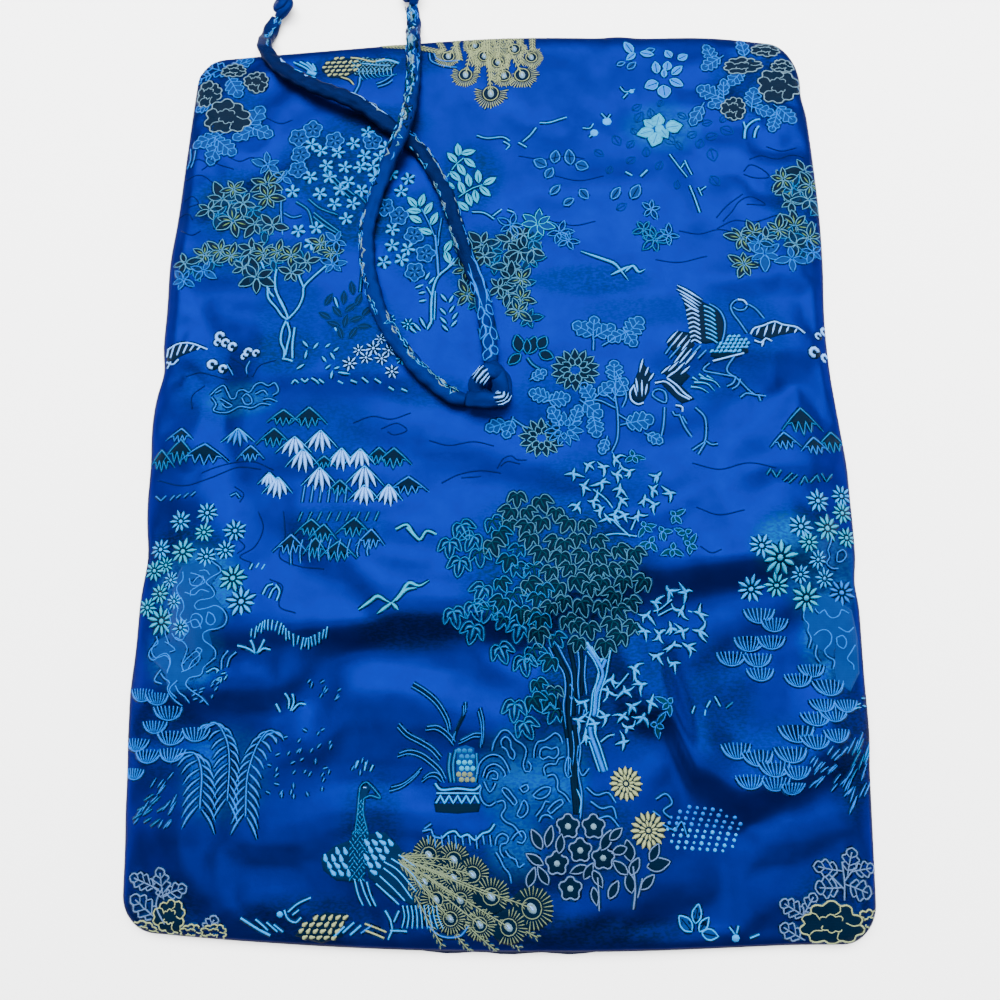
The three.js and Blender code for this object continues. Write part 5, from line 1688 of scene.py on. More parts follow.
# %% Chart the ivy
DIM_IVY = chart("""
-13 -33.4; -9 -28; -10 -39; -6.6 -31.6; -11 -54; -5 -52; -6 -58.4; 7.4 -58; 2.4 -64; 9 -67.4; -3.4 -47; 6
-80; 9.4 -85
""")
for number, (x, y) in enumerate(DIM_IVY):
    ivy_leaf((x, y), 2.9, 26 * math.sin(1.7 * number), "teal", None, "teal")
IVY = chart("""
7 -18.4; 4.4 -23; 10.4 -23; 14.6 -20; 5 -27; 9.4 -27.6; 14 -26.4; 2.4 -30; 21.6 -26.8; 27.6 -27.4; 18
-32.6; 24.6 -31.6; 31 -32.4; -4 -36.4; 0 -33.4; 7 -34.6; 13.6 -36; 19.6 -37.4; 25.4 -36.6; 31.2 -37; 7.6
-40.4; 2.6 -44.6; 11 -45.2; 16.4 -41.4; 18.4 -46; 24.6 -44.4; 31 -45; 27.8 -41; 2 -50.4; -1.6 -52.8; 2.4
-55.4; 11.4 -54; 16.2 -51.6; 22 -55.4; 28 -57.6; 13.2 -59.4; 37 -35.4; 41.4 -36.4; 43 -44.4; 37.6 -44.6;
37 -52.6; 36 -60; 12 -64.4; 13 -73.4; 17.4 -75.6; 12 -78; 17 -81.4; 20.4 -50; 26 -51; 31.6 -51.4; 34.4
-48.4; 34.2 -41; 40.4 -50.2; 18.6 -60.4; 24.4 -61.6; 32.4 -62.6; 40.2 -57; 12.6 -49.4; 34.4 -56.4; 6.6
-48.6; 21.6 -40.4; 18.6 -23.4; 0.4 -26.4; 10.6 -31.4; 4.2 -38; 12 -40.8; 30.6 -41.4; 14.8 -46.6; 28 -46;
24.4 -56.6; 8 -53.4; 13.6 -55.4; 16 -67; 15 -77.6; 21 -33.4; 38.6 -40.4
""")
for number, (x, y) in enumerate(sorted(IVY, key=lambda place: -place[1])):
    left = 2.2 * x + y < -14
    line = "teal" if left and number % 4 else "ivy"
    inner = None if left and number % 3 == 0 else "ink"
    radius, turn = 2.45 + 0.28 * math.sin(1.3 * number), 32 * math.sin(2.4 * number)
    ivy_leaf((x, y), radius, turn, line, inner, "moss")
print("ivy leaves:", len(IVY) + len(DIM_IVY))

# %% Chart the maple
MAPLE = chart("""
24 -11; 28.6 -8.4; 33.4 -9; 27 -15; 32.4 -14; 25 -21; 30 -19.4; 32 -22.6; 34 -25; 37 -6.4; 41 -10.4; 37
-11.6; 49.4 -12; 38 -16; 47.6 -16.6; 53 -17.4; 38 -20; 45 -19.4; 48 -21; 36 -24; 39 -24; 43 -24; 51 -46.6;
56 -47; 47 -50; 45 -53.4; 55 -52; 60 -53; 44 -58; 48 -59; 51.6 -57; 55 -58; 59.6 -58; 47 -65; 52 -62; 56
-62.6; 52 -67; 40 -69; 33 -75; 26 -78; 24 -83; 32 -82; 26 -87; 37 -75; 42 -73; 44 -78; 37 -82; 42 -82; 38
-85; 37 -89; 39 -79; 34 -71.6; 29 -84
""")
for number, (x, y) in enumerate(MAPLE):
    star_leaf((x, y), 3.3, -90 + 80 * math.sin(2.4 * number), "ice")
MAPLE_OUTLINES = chart("""
42.4 -5.6; 53.6 -24.6; 56 -30; 57 -33.6; 52 -35; 45.6 -33; 46 -84; 49 -78; 44.4 -28; 49.6 -29.6
""")
for number, (x, y) in enumerate(MAPLE_OUTLINES):
    star_leaf((x, y), 3.6, -80 + 70 * math.sin(2.4 * number), "sky", False)
print("maple leaves:", len(MAPLE) + len(MAPLE_OUTLINES))

# %% Chart the pines and ferns
# x, y, radius
PINE_TUFTS = chart("""
-102 -76 3.8; -97 -77 3.6; -94 -81 4.2; -98 -85 3.6; -103 -90 3.6; -93 -88 4; -86 -87 4; -99 -93 3.8; -92
-92.6 3.8; -103 -98 3.2; 77 -53.4 4.4; 81.4 -56 4; 74 -61.4 4.4; 80.4 -61 4; 68.6 -65.6 4.2; 76 -66 4;
76.4 -70 3.8; 91 -69 3.6; 87 -71.6 3.8; 95 -73.6 4.4; 84.4 -86 4.6; 90 -82 3.8; 95 -80.6 4.2; 89 -88 3.8;
95 -86.4 3.6; 67.4 -90.6 4.2; 73 -92.4 4.2; 82 -91.4 4.2; 77 -95 4.2; 83 -96 3.6; 70 -98.4 3.8; 77 -99
3.8; 82 -100.4 3.4; 92.4 -78.4 3.4; 99 -78.6 3.4
""")
for x, y, radius in PINE_TUFTS:
    pine_tuft((x, y), radius, "sky")
fern([(-84, -85.6), (-80.6, -84), (-77.4, -88), (-75.4, -95), (-74.6, -105)], "sky", 6.6)
fern([(-90, -92.6), (-85.6, -92.4), (-82.8, -97), (-81.8, -107)], "sky", 7.6)
fern([(-60, -87.6), (-64, -86), (-67, -89.4), (-69, -97), (-69, -109)], "sky", 6.6)
print("pine tufts:", len(PINE_TUFTS))

# %% Chart the grass
sew_chart("""
ice 0.65: -67.4 -47.6 -66.4 -45 -64.8 -44.4; -65.4 -48.6 -64.6 -46 -63.4 -45; -63 -49.4 -62.6 -46.4 -64
-44.6; ice 0.6: -72.4 -40 -71.8 -38.2; -70.6 -39.6 -69.8 -38; -68.8 -40 -68 -38.4; ice 0.7: -74 -62.2 -71
-63 -68.8 -64.4; -69 -64.4 -69.4 -62 -70 -60.6; -68.4 -64.4 -66.6 -61.6 -66 -60.4; -68 -64.2 -66.4 -63
-64.4 -63.4; sky 0.6: -78.6 -69 -78.6 -66 -76.8 -63.6; -77 -68.4 -76.4 -65.8 -74.4 -64; ice 0.6: -83 -69.8
-80.6 -68.6 -79.2 -69.4; ice 0.7: -62.6 -78.6 -61.4 -81; -59 -80 -59 -77.4 -60 -75.6; -58.4 -80.6 -57.6
-78 -58 -75.8; -58 -80.6 -56 -78.6 -54 -78.8; ice 0.6: 60.4 -79.4 61.6 -77.6; 63 -76.4 64.4 -79.2; 56 -81
57 -79; 59.6 -81.6 60 -80
""")
for step in range(22):
    foot = -69.4 + 1.02 * step
    top = -57.4 + 2.6 * math.sin(step * 0.31)
    low = top - 2.4 - 1.2 * math.sin(1.7 * step) ** 2
    sew("ice", [(foot + 0.5 * math.sin(step), top), (foot - 0.4, low)], 0.5)
# thread, x from, x to, y from, y to, way they point, spread of the way, length, how many
FIELD_DASHES = chart("""
sky -86 -78 -78 -72 40 50 1.6 11; sky -54 -43 -77 -72 60 60 1.7 9; sky -64 -46 -104 -84 60 70 1.5 36; sky
-101 -89 -111 -96 55 10 3 17; teal -103 -92 -112 -104 30 14 3.4 8; sky 86 99 -104 -90 48 10 3 24; sky 98
105 -106 -86 62 8 4.6 15; teal 99 105 -98 -88 60 8 4 8; ice 101 105 -80 -74 20 50 1.6 5; ice -82 -76 -72
-69 30 60 1.6 6; sky -40 -34 -97.5 -93 75 14 2 5
""")
for thread, x_from, x_to, y_from, y_to, turn, spread, length, count in FIELD_DASHES:
    for _ in range(count):
        x = x_from + (x_to - x_from) * chance.random()
        y = y_from + (y_to - y_from) * chance.random()
        way = turn + spread * chance.normal() * 0.5
        dash(thread, x, y, way, length * (0.8 + 0.4 * chance.random()), 0.45)
print("grass fields:", len(FIELD_DASHES))

# %% Chart the pot
POT_BLADES = strokes("""
-23.2 -73.2 -20 -75 -16.6 -77.6 -14.4 -80.4 -12.8 -83.6 -12.4 -86; -27 -84.4 -24.4 -87 -20.6 -89 -17.4 -91
-15 -93.6; -19 -85.2 -16 -85 -13.6 -86.4 -12 -88 -11 -89.4; -8.2 -78.4 -8.2 -81 -9.4 -83.6 -10.8 -86.4
-11.6 -89; -4 -80 -3.2 -83 -3 -86.6 -3.4 -90; -9.6 -89 -7.6 -88 -5.4 -87 -3.6 -87; -27 -92.6 -24 -91.8
-20.6 -92.6 -17.6 -94.6 -15 -97 -13.6 -99.6; -29 -101.8 -26 -101 -23 -99 -20.6 -96.6; -20 -99.4 -18 -98
-16 -98 -14.4 -99.4
""")
for points in POT_BLADES:
    sew("ink", points, 1.2, "tail")
    for side in (-0.5, 0.5):
        sew("sky", np.array(points) + (0.5 * side, side), 0.36)
sew_chart("""
teal 0.7: -10.6 -91 -11.4 -95 -11 -100; -12.2 -92 -12.6 -96 -12 -100; teal 0.6: -4.8 -92 -4.6 -96 -5 -100;
ice 0.8: -16.4 -100.2 -15 -101.8 -10 -101.6 -5 -101.8 -3.6 -100.6; ice 0.6: -16 -102.8 -10 -102.8 -4
-102.8; sky 0.6: -19.4 -112.4 -17 -112 -16.4 -113.6 -14 -114.2; ice 0.65: -14 -114.2 -12.4 -112.8 -10.4
-112.4 -9 -113.8 -7 -113.2 -5 -114.6 -3 -113 -1 -112.4 0.4 -110.6; sky 0.5: -17 -110.4 -19 -111.8
""")
sew("ice", [(-16 + 1.2 * step, -103.4 if step % 2 else -105.4) for step in range(11)], 0.7, curved=False)
fill("ink", [(-16.6, -105.4), (-3.4, -105.4), (-4, -107.6), (-10, -108), (-16, -107.6)])
for step in range(10):
    foot = -18 + 1.9 * step
    sew("sky", [(foot, -113.4), (foot + 0.4, -115.6 - 1.2 * math.sin(2 * step) ** 2)], 0.5)
for row, level in enumerate((-91.4, -93, -94.6, -96.2, -97.8, -99.2)):
    for column in range(3):
        dot(("teal", "jade", "bronze_and_shaded_gold")[min(row // 2, 2)], -9.8 + 1.6 * column + 0.8 * (row % 2), level, 1.5)
fill("haze", [(-10.4, -90.6), (-7.8, -89.8), (-5.4, -90.6), (-5.2, -100), (-10.4, -100)])
print("pot blades:", len(POT_BLADES))

# %% Chart the flower bush and its sun flowers
sun_flower((37, -100), 4.6, "gold")
sun_flower((42.6, -112), 5.0, "gold")
BUSH_FLOWERS = chart("""
20.6 -111; 27.6 -111; 23.8 -117; 17.4 -120.4; 21 -127; 30 -119
""")
for x, y in BUSH_FLOWERS:
    ring_flower((x, y), 3.2, "lilac", 5, 90, "ink", False)
    dot("pearl", x, y, 1.7)
BUSH_LEAVES = chart("""
12 -114.4 5.6 3 120; 15.4 -113.6 5.6 2.8 75; 18.4 -115.4 5 2.8 80; 31 -114.4 6 3.2 60; 33.6 -112.8 4.6 2.6
40; 10.4 -124 5.6 2.8 70; 13.6 -123.6 5.6 2.8 120; 11.4 -119.4 5.4 2.6 150; 23.2 -122 5 2.6 200; 26 -122.4
5 2.6 60; 28.4 -124.4 5 2.8 -60; 27.6 -128.8 4.6 2.4 -80; 32.6 -127 5.2 2.8 60; 37 -117 5.6 3.6 100; 45
-120.6 6.6 4 10; 37 -125 5.6 3.2 100; 41.8 -125 5.2 2.8 45; 34.6 -121.4 5 3 140; 38.4 -121 5 3 60; 44
-117.6 5 3 60; 34.4 -117 4.4 2.8 200
""")
for x, y, length, width, turn in BUSH_LEAVES:
    leaf((x, y), length, width * 0.85, turn, "lilac", "ink", None, 0.5)
sew_chart("""
lilac 0.6: 38 -121 38.4 -127 37.8 -132; lilac 0.5: 40.4 -124 39 -129; 28.4 -124 28.6 -128 28.6 -132.4
""")
DOT_ROWS, DOT_COLUMNS, DOT_GAP, DOT_RISE = 8, 11, 2.1, 1.6
DOTS_X, DOTS_Y, DOTS_HALF_WIDTH, DOTS_HALF_HEIGHT = 57.4, -112.4, 11.5, 6.6
for row in range(DOT_ROWS):
    for column in range(DOT_COLUMNS):
        x = 46 + DOT_GAP * (column + 0.5 * (row % 2)) + 0.5 * row
        y = -105.4 - DOT_RISE * row - 0.18 * column
        if math.hypot((x - DOTS_X) / DOTS_HALF_WIDTH, (y - DOTS_Y) / DOTS_HALF_HEIGHT) < 1:
            dot("ice" if row > 3 else "sky", x, y, 1.0 + 0.2 * math.sin(3.7 * column + row))
print("bush leaves:", len(BUSH_LEAVES))

# %% [markdown]
# ## Threads on the cloth
# The chart is flat, and the cloth isn't. Each charted point is looked up on the face's grid, which gives
# its place and which way the cloth faces there. A thread becomes a ridge with three edges, so that it has a
# lit side and a shaded side, and a filling becomes a thin plate that follows every fold.

# %% Look up places on the cloth
face_normal = np.cross(np.gradient(face, axis=1), np.gradient(face, axis=0))
face_normal /= np.linalg.norm(face_normal, axis=-1, keepdims=True)
HEM = 0.3


def flat_place(x, y):
    """Where on the flat cloth a place seen from above lies, by a few rounds of correction."""
    at_x, at_y = x.copy(), y.copy()
    for _ in range(8):
        seen_x, seen_y = plan_point(at_x, at_y)
        at_x, at_y = at_x + x - seen_x, at_y + y - seen_y
    return at_x, at_y


def on_cloth(points):
    """Places on the face, the way the cloth faces there, and whether they lie inside the hem."""
    at_x, at_y = flat_place(points[:, 0], points[:, 1])
    inside = (np.abs(at_x) < HALF_WIDTH - HEM) & (np.abs(at_y) < HALF_LENGTH - HEM)
    column = np.clip(np.searchsorted(grid_x, at_x) - 1, 0, FACE_COLUMNS - 2)
    row = np.clip(np.searchsorted(grid_y, at_y) - 1, 0, FACE_ROWS - 2)
    across = np.clip((at_x - grid_x[column]) / (grid_x[column + 1] - grid_x[column]), 0, 1)[:, None]
    along = np.clip((at_y - grid_y[row]) / (grid_y[row + 1] - grid_y[row]), 0, 1)[:, None]

    def blend(field):
        low = field[row, column] * (1 - across) + field[row, column + 1] * across
        high = field[row + 1, column] * (1 - across) + field[row + 1, column + 1] * across
        return low * (1 - along) + high * along

    return blend(face), blend(face_normal), inside


print("points on the face:", face_normal.shape[:2])

# %% Raise threads as ridges
THREAD_LEVELS, HALO_LEVELS = (0.03, 0.17, 0.06), (0.018, 0.028, 0.0)
HALO_REACH = 0.45


def trimmed(runs, surface):
    """The stretches of the runs that lie on the surface."""
    inside = surface(np.vstack([line for line, half in runs]))[2]
    kept, first = [], 0
    for line, half in runs:
        for start, stop in stretches(inside[first : first + len(line)]):
            if stop - start > 1:
                kept.append((line[start:stop], half[start:stop]))
        first += len(line)
    return kept


def ridges(runs, surface, levels=THREAD_LEVELS):
    """Three-edged ridges along the runs: left foot, crest and right foot at every point."""
    foot, top, swell = levels
    runs = trimmed(runs, surface)
    lines = np.vstack([line for line, half in runs])
    halves = np.concatenate([half for line, half in runs])[:, None]
    along = np.vstack([np.gradient(line, axis=0) for line, half in runs])
    along /= np.maximum(np.linalg.norm(along, axis=1, keepdims=True), 1e-9)
    left = np.stack([-along[:, 1], along[:, 0]], axis=1) * halves
    points = np.empty((len(lines), 3, 3))
    edges = ((left, foot), (left * 0, top + swell * halves), (-left, foot))
    for edge, (shift, lift) in enumerate(edges):
        place, normal, _ = surface(lines + shift)
        points[:, edge] = place + normal * lift
    sizes = np.array([len(line) for line, half in runs])
    last = np.cumsum(sizes) - 1
    first = last - sizes + 1
    here = np.setdiff1d(np.arange(len(lines)), last)
    left_foot, crest, right_foot = (np.arange(len(lines)) * 3 + edge for edge in range(3))
    quads = [
        np.stack([one[here], two[here], two[here + 1], one[here + 1]], axis=1)
        for one, two in ((left_foot, crest), (crest, right_foot), (right_foot, left_foot))
    ]
    caps = [
        np.stack([left_foot[first], right_foot[first], crest[first]], axis=1),
        np.stack([left_foot[last], crest[last], right_foot[last]], axis=1),
    ]
    return points.reshape(-1, 3), np.vstack(quads), np.vstack(caps)


print("levels of a thread's feet and crest, mm:", THREAD_LEVELS[:2])

# %% Raise fillings as plates
PLATE_LEVEL, LOW_PLATES = 0.065, {"haze": 0.035, "ink": 0.05}
PLATE_DEPTH = 0.1


def plates(outlines, level, surface):
    """Thin closed plates, each made of rings that shrink to the middle."""
    inside = surface(np.vstack(outlines))[2]
    ends = np.cumsum([len(outline) for outline in outlines])
    whole = [part.all() for part in np.split(inside, ends[:-1])]
    flat, quads, tris, rims, first = [], [], [], [], 0
    for outline in (outline for outline, kept in zip(outlines, whole) if kept):
        following = np.roll(outline, -1, axis=0)
        swept = np.sum(outline[:, 0] * following[:, 1] - outline[:, 1] * following[:, 0])
        outline = outline if swept > 0 else outline[::-1]
        middle = outline.mean(axis=0)
        count = len(outline)
        rings = max(math.ceil(np.linalg.norm(outline - middle, axis=1).max() / FILL_STEP), 1)
        share = 1 - np.arange(rings)[:, None, None] / rings
        flat.append(np.vstack([(middle + (outline - middle) * share).reshape(-1, 2), middle[None]]))
        index = first + np.arange(rings * count).reshape(rings, count)
        after = np.roll(index, -1, axis=1)
        corners = [index[:-1], after[:-1], after[1:], index[1:]]
        quads.append(np.stack(corners, axis=-1).reshape(-1, 4))
        tris.append(np.stack([index[-1], after[-1], np.full(count, first + rings * count)], axis=1))
        rims.append(np.stack([index[0], after[0]], axis=1))
        first += rings * count + 1
    place, normal, _ = surface(np.vstack(flat))
    quads, tris, rims = np.vstack(quads), np.vstack(tris), np.vstack(rims)
    sides = np.stack([rims[:, 0], rims[:, 0] + first, rims[:, 1] + first, rims[:, 1]], axis=1)
    points = np.vstack([place + normal * level, place - normal * PLATE_DEPTH])
    quads = np.vstack([quads, quads[:, ::-1] + first, sides])
    return points, quads, np.vstack([tris, tris[:, ::-1] + first])


def thread_piece(name, thread, runs, outlines, surface, slot):
    """One joined mesh of every ridge and plate in one thread."""
    parts = [ridges(runs, surface)] if runs else []
    if outlines:
        parts.append(plates(outlines, LOW_PLATES.get(thread, PLATE_LEVEL), surface))
    points, quads, tris, first = [], [], [], 0
    for part_points, part_quads, part_tris in parts:
        points.append(part_points)
        quads.append(part_quads + first)
        tris.append(part_tris + first)
        first += len(part_points)
    return mesh_piece(name, np.vstack(points), [np.vstack(quads), np.vstack(tris)], THREADS[thread], slot)


print("ridges and plates are ready")

# %% Dye the threads
THREAD_COLOURS = {
    # darker and lighter shade of each thread
    "sky": ((0.0, 0.05, 0.24), (0.0, 0.08, 0.36)),
    "ice": ((0.0, 0.095, 0.29), (0.0, 0.155, 0.45)),
    "jade": ((0.0, 0.115, 0.21), (0.0, 0.18, 0.33)),
    "teal": ((0.0, 0.045, 0.14), (0.0, 0.07, 0.20)),
    "sage": ((0.018, 0.075, 0.13), (0.03, 0.115, 0.20)),
    "gold": ((0.10, 0.12, 0.055), (0.18, 0.21, 0.11)),
    "rose": ((0.05, 0.16, 0.42), (0.09, 0.25, 0.64)),
    "lilac": ((0.035, 0.065, 0.13), (0.055, 0.095, 0.20)),
    "pearl": ((0.04, 0.08, 0.11), (0.08, 0.14, 0.19)),
    "ink": ((0.0, 0.0026, 0.0085), (0.0, 0.0040, 0.0125)),
    "olive": ((0.035, 0.075, 0.028), (0.06, 0.12, 0.05)),
    "fir": ((0.0, 0.0045, 0.018), (0.0, 0.007, 0.026)),
    # bronze: a dimmer gold, painted shade on the lower peacock; it also makes the pot's lowest dots.
    "bronze_and_shaded_gold": ((0.05, 0.068, 0.038), (0.09, 0.12, 0.075)),
    "moss": ((0.0, 0.009, 0.018), (0.0, 0.015, 0.028)),
    "ivy": ((0.012, 0.050, 0.090), (0.020, 0.078, 0.135)),
    "dusk": ((0.0, 0.0026, 0.024), (0.0, 0.0042, 0.034)),
    "haze": ((0.0, 0.010, 0.060), (0.0, 0.016, 0.088)),
    "shade": ((0.0, 0.006, 0.030), (0.0, 0.010, 0.048)),
}
THREADS = {
    thread: cloth_material(thread + "_thread", dark, light, 0.5, 0.0, TWISTED_THREAD, 0.2)
    for thread, (dark, light) in THREAD_COLOURS.items()
}
print("threads dyed:", sorted(THREADS))

# %% Weave the garden
DARK_THREADS = ("ink", "moss", "fir", "haze", "dusk")
for thread in THREADS:
    runs = [(line, half) for line, half, _ in thread_runs.get(thread, [])]
    outlines = thread_fills.get(thread, [])
    if runs or outlines:
        thread_piece("brocade_" + thread, thread, runs, outlines, on_cloth, "brocade")
halo = [
    (line[::2], half[::2] + HALO_REACH)
    for thread, runs in thread_runs.items() if thread not in DARK_THREADS
    for line, half, _ in runs if len(line) > 4
]
halo_points, halo_quads, halo_caps = ridges(halo, on_cloth, HALO_LEVELS)
mesh_piece("brocade_shade", halo_points, [halo_quads, halo_caps], THREADS["shade"], "brocade")

# %% [markdown]
# ## Shaded grounds and painted shade
# Behind its trees and rocks a brocade changes its weave, so the satin there looks teal and dull. Those
# areas are soft ovals painted on the face as two values, and the satin's colour follows them. Some of the
# darker ovals are painted shade: a long one along the lower hem and a few over the lower right fold.

# %% Paint the grounds
# The long thin oval along the lower hem and the ovals over the lower right fold are painted shade, not woven
# ground.
# x, y, half width, half height, strength
THICKETS_AND_SHADE = chart("""
-54 96 21 17 1; -46 78 18 14 1; -86 82 18 15 0.9; -78 62 28 9 0.6; -24 70 14 18 0.75; -8 91 12 14 0.8;
-4 60 16 14 0.6; -92 122 15 16 0.6; 88 124 17 16 0.7; 98 76 10 20 0.6; -42 34 16 16 0.7; -66 44 12 16 0.5;
18 -40 30 28 0.9; 23 -78 12 24 1; 30 -14 20 12 0.5; 38 -70 18 24 0.65; 30 53 22 6 0.6; -24 -58 18 7 0.6;
64 -78 12 20 0.6; 48 42 24 6 0.4; 66 20 18 10 0.4; -40 112 20 8 0.7; -66 30 14 10 0.8; 100 -90 8 22 0.8;
20 -138 40 5 0.7; -20 16 16 6 0.5; -88 20 16 16 0.45; -54 2 20 14 0.5; -48 -28 18 9 0.6; 20 14 16 14 0.5;
76 34 18 16 0.5; -30 136 20 6 0.6; -56 134 16 7 0.6; 0 -126 22 14 0.6; -34 -112 10 18 0.6; 26 -114 18 14 0.7;
-92 -36 15 12 1; 90 -34 16 14 1; -50 -136 22 8 0.6; -92 -134 14 10 0.6; 92 -132 14 12 0.6; -96 -88 12 16 0.5;
80 -92 16 12 0.5
""")
ROCKS = chart("""
-88 -46 15 14 0.6; -90 -64 13 12 0.6; 96 -42 12 16 0.6; 97 -62 9 12 0.6; 6 -98 12 14 0.6; 18 -98 9 12 0.5;
-80 14 12 6 0.5; 56 108 14 10 0.35; 86 -34 12 10 0.5; 6 -116 8 10 0.5; -76 -98 14 14 0.35
""")

THICKET_AND_SHADE_DEPTH, ROCK_DEPTH = 1.15, 1.9
PAINTED_CORE, PAINTED_FADE = 0.55, 0.6


def painted(grounds, depth):
    """Soft ovals as one value for each point of the face, and none for the underside."""
    tone = np.zeros(face.shape[:2])
    for x, y, across, along, strength in grounds:
        away = np.hypot((face[..., 0] - x) / across, (face[..., 1] - y) / along)
        core = 1 - smooth_step((away - PAINTED_CORE) / PAINTED_FADE)
        tone = np.maximum(tone, depth * strength * core)
    return np.concatenate([tone.ravel(), np.zeros(tone.size)])


for tone, grounds, depth in (("thicket_and_shade", THICKETS_AND_SHADE, THICKET_AND_SHADE_DEPTH), ("rock", ROCKS, ROCK_DEPTH)):
    layer = outer_panel.data.attributes.new(tone, "FLOAT", "POINT")
    layer.data.foreach_set("value", painted(grounds, depth))
print("grounds painted:", len(THICKETS_AND_SHADE) + len(ROCKS))

# %% [markdown]
# ## The tie
# The tie is sewn as a flat tube from strips of the same brocade, so the garden's threads show on it only as
# broken flecks. Each strand is a tube whose section swells and creases a little along its length. The knots
# are the same tube, led over and under itself along a short listed route.

# %% Shape the tubes
TUBE_SIDES, TUBE_STEP, TAPER_REACH = 20, 0.7, 1.5


def tube_frames(route):
    """For each point of a route: forward, up and across."""
    forward = np.gradient(route, axis=0)
    forward /= np.linalg.norm(forward, axis=1, keepdims=True)
    up = np.array([0, 0, 1.0]) - forward * forward[:, 2:3]
    up /= np.maximum(np.linalg.norm(up, axis=1, keepdims=True), 1e-6)
    return forward, up, np.cross(forward, up)


def tube_swell(distance, angle):
    """How far a sewn tube's wall stands out or in, as a share, at a distance along and an angle round."""
    lean = 0.060 * np.sin(distance * 1.1 + 2 * angle) + 0.045 * np.sin(distance * 0.47 - 3 * angle + 1.3)
    crease = np.angle(np.exp(1j * (angle - 0.7 * np.sin(distance * 0.09 + 0.8))))
    return 1 + lean + 0.04 * np.sin(distance * 0.23 + angle) - 0.16 * np.exp(-((crease / 0.3) ** 2))


def flattened(value, power):
    return np.sign(value) * np.abs(value) ** power


def tube_point(route, frames, distance, angle, width, thick, swell=1.0):
    """A place on the tube's wall, with the way out of it."""
    marks = np.concatenate([[0], np.cumsum(np.linalg.norm(np.diff(route, axis=0), axis=1))])

    def at(field):
        return np.stack([np.interp(distance, marks, field[:, axis]) for axis in range(3)], axis=-1)

    forward, up, across = (at(field) for field in frames)
    lift = flattened(np.cos(angle), 0.6)[..., None] * up
    side = flattened(np.sin(angle), 0.85)[..., None] * across
    wall = (tube_swell(distance, angle) * swell)[..., None]
    out = lift / thick + side / width
    out /= np.linalg.norm(out, axis=-1, keepdims=True)
    return at(route) + (lift * thick / 2 + side * width / 2) * wall, out


def tube(route, width, thick, taper=0.0):
    """A closed tube along a route. Taper is the share by which each end narrows."""
    frames = tube_frames(route)
    length = route_length(route)
    count = max(int(length / TUBE_STEP), 8)
    distance, angle = np.meshgrid(
        np.linspace(0, length, count), np.linspace(0, 2 * math.pi, TUBE_SIDES, endpoint=False), indexing="ij"
    )
    from_end = np.minimum(distance, length - distance)
    swell = 1 - taper * np.exp(-from_end / TAPER_REACH)
    points, _ = tube_point(route, frames, distance, angle, width, thick, swell)
    index = np.arange(count * TUBE_SIDES).reshape(count, TUBE_SIDES)
    after = np.roll(index, -1, axis=1)
    quads = np.stack([index[:-1], after[:-1], after[1:], index[1:]], axis=-1).reshape(-1, 4)
    last = count * TUBE_SIDES
    caps = [
        np.stack([after[0], index[0], np.full(TUBE_SIDES, last)], axis=1),
        np.stack([index[-1], after[-1], np.full(TUBE_SIDES, last + 1)], axis=1),
    ]
    return np.vstack([points.reshape(-1, 3), route[:1], route[-1:]]), [quads, np.vstack(caps)]


print("sides of a tube:", TUBE_SIDES)

# %% Tie the knots
TIE_KNOT_ROUTE = chart("""
-1 23.4 7.8; 0.6 20.8 8.4; 1.8 17.6 8.6; 2 14.6 7.8; 0.4 12.6 6.8; -2.6 13 6.6; -4.9 14.8 7.4; -5 17 8.8;
-3.5 18.7 9.8; -1.8 20.4 10; 0.8 20 9.2; 2.8 17.6 7.4; 3.2 14.4 7.2; 2.6 11.9 8.6; 0.2 11.2 9.6; -3.2 11.4 9;
-8.2 12 7.4
""")
# forward, across and up from the knot's middle
END_KNOT_ROUTE = chart("""
-5 0 -0.9; -2.4 -1.3 0.3; 0.8 -2 0.5; 2.4 0.1 -0.5; 0.4 2 -0.7; -2 0.9 0.4; -0.6 -0.7 1.4; 1.8 0.3 1.3;
3.4 1 0.2; 4.6 1.2 -0.8
""")
END_KNOT_AWAY, END_KNOT_LEVEL = 5.3, 3.2
END_KNOT_WIDTH, END_KNOT_THICK = 3.6, 2.8
KNOT_WIDTH, KNOT_THICK, KNOT_STEP = 5.2, 3.2, 0.5
KNOT_TAPER, END_KNOT_TAPER, STRAND_TAPER = 0.1, 0.3, 0.25
knot_route = through_points(TIE_KNOT_ROUTE, KNOT_STEP)
knot_tube = tube(knot_route, KNOT_WIDTH, KNOT_THICK, KNOT_TAPER)
tie_knot = mesh_piece("tie_knot_loops", *knot_tube, tie_satin, "tie")
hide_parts("tie_knot")
for name, route in (("tie_left", left_route), ("tie_right", right_route)):
    ahead = (route[-1] - route[-4])[:2]
    ahead = ahead / np.linalg.norm(ahead)
    across = np.array([-ahead[1], ahead[0]])
    middle = route[-1, :2] + ahead * END_KNOT_AWAY
    loops = [
        (*(middle + ahead * forward + across * aside), END_KNOT_LEVEL + lift)
        for forward, aside, lift in END_KNOT_ROUTE
    ]
    end_tube = tube(through_points(loops, KNOT_STEP), END_KNOT_WIDTH, END_KNOT_THICK, END_KNOT_TAPER)
    knot = mesh_piece(name + "_end_loops", *end_tube, tie_satin, "tie")
    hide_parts(name + "_end_knot")

# %% Fleck the tie
def strand_surface(route, width=TIE_WIDTH, thick=TIE_THICK):
    """Places on a strand: along it, and round it from its top, in millimetres."""
    frames = tube_frames(route)

    def surface(points):
        angle = points[:, 1] / (width * 0.42)
        place, out = tube_point(route, frames, points[:, 0], angle, width, thick)
        return place, out, np.full(len(points), True)

    return surface


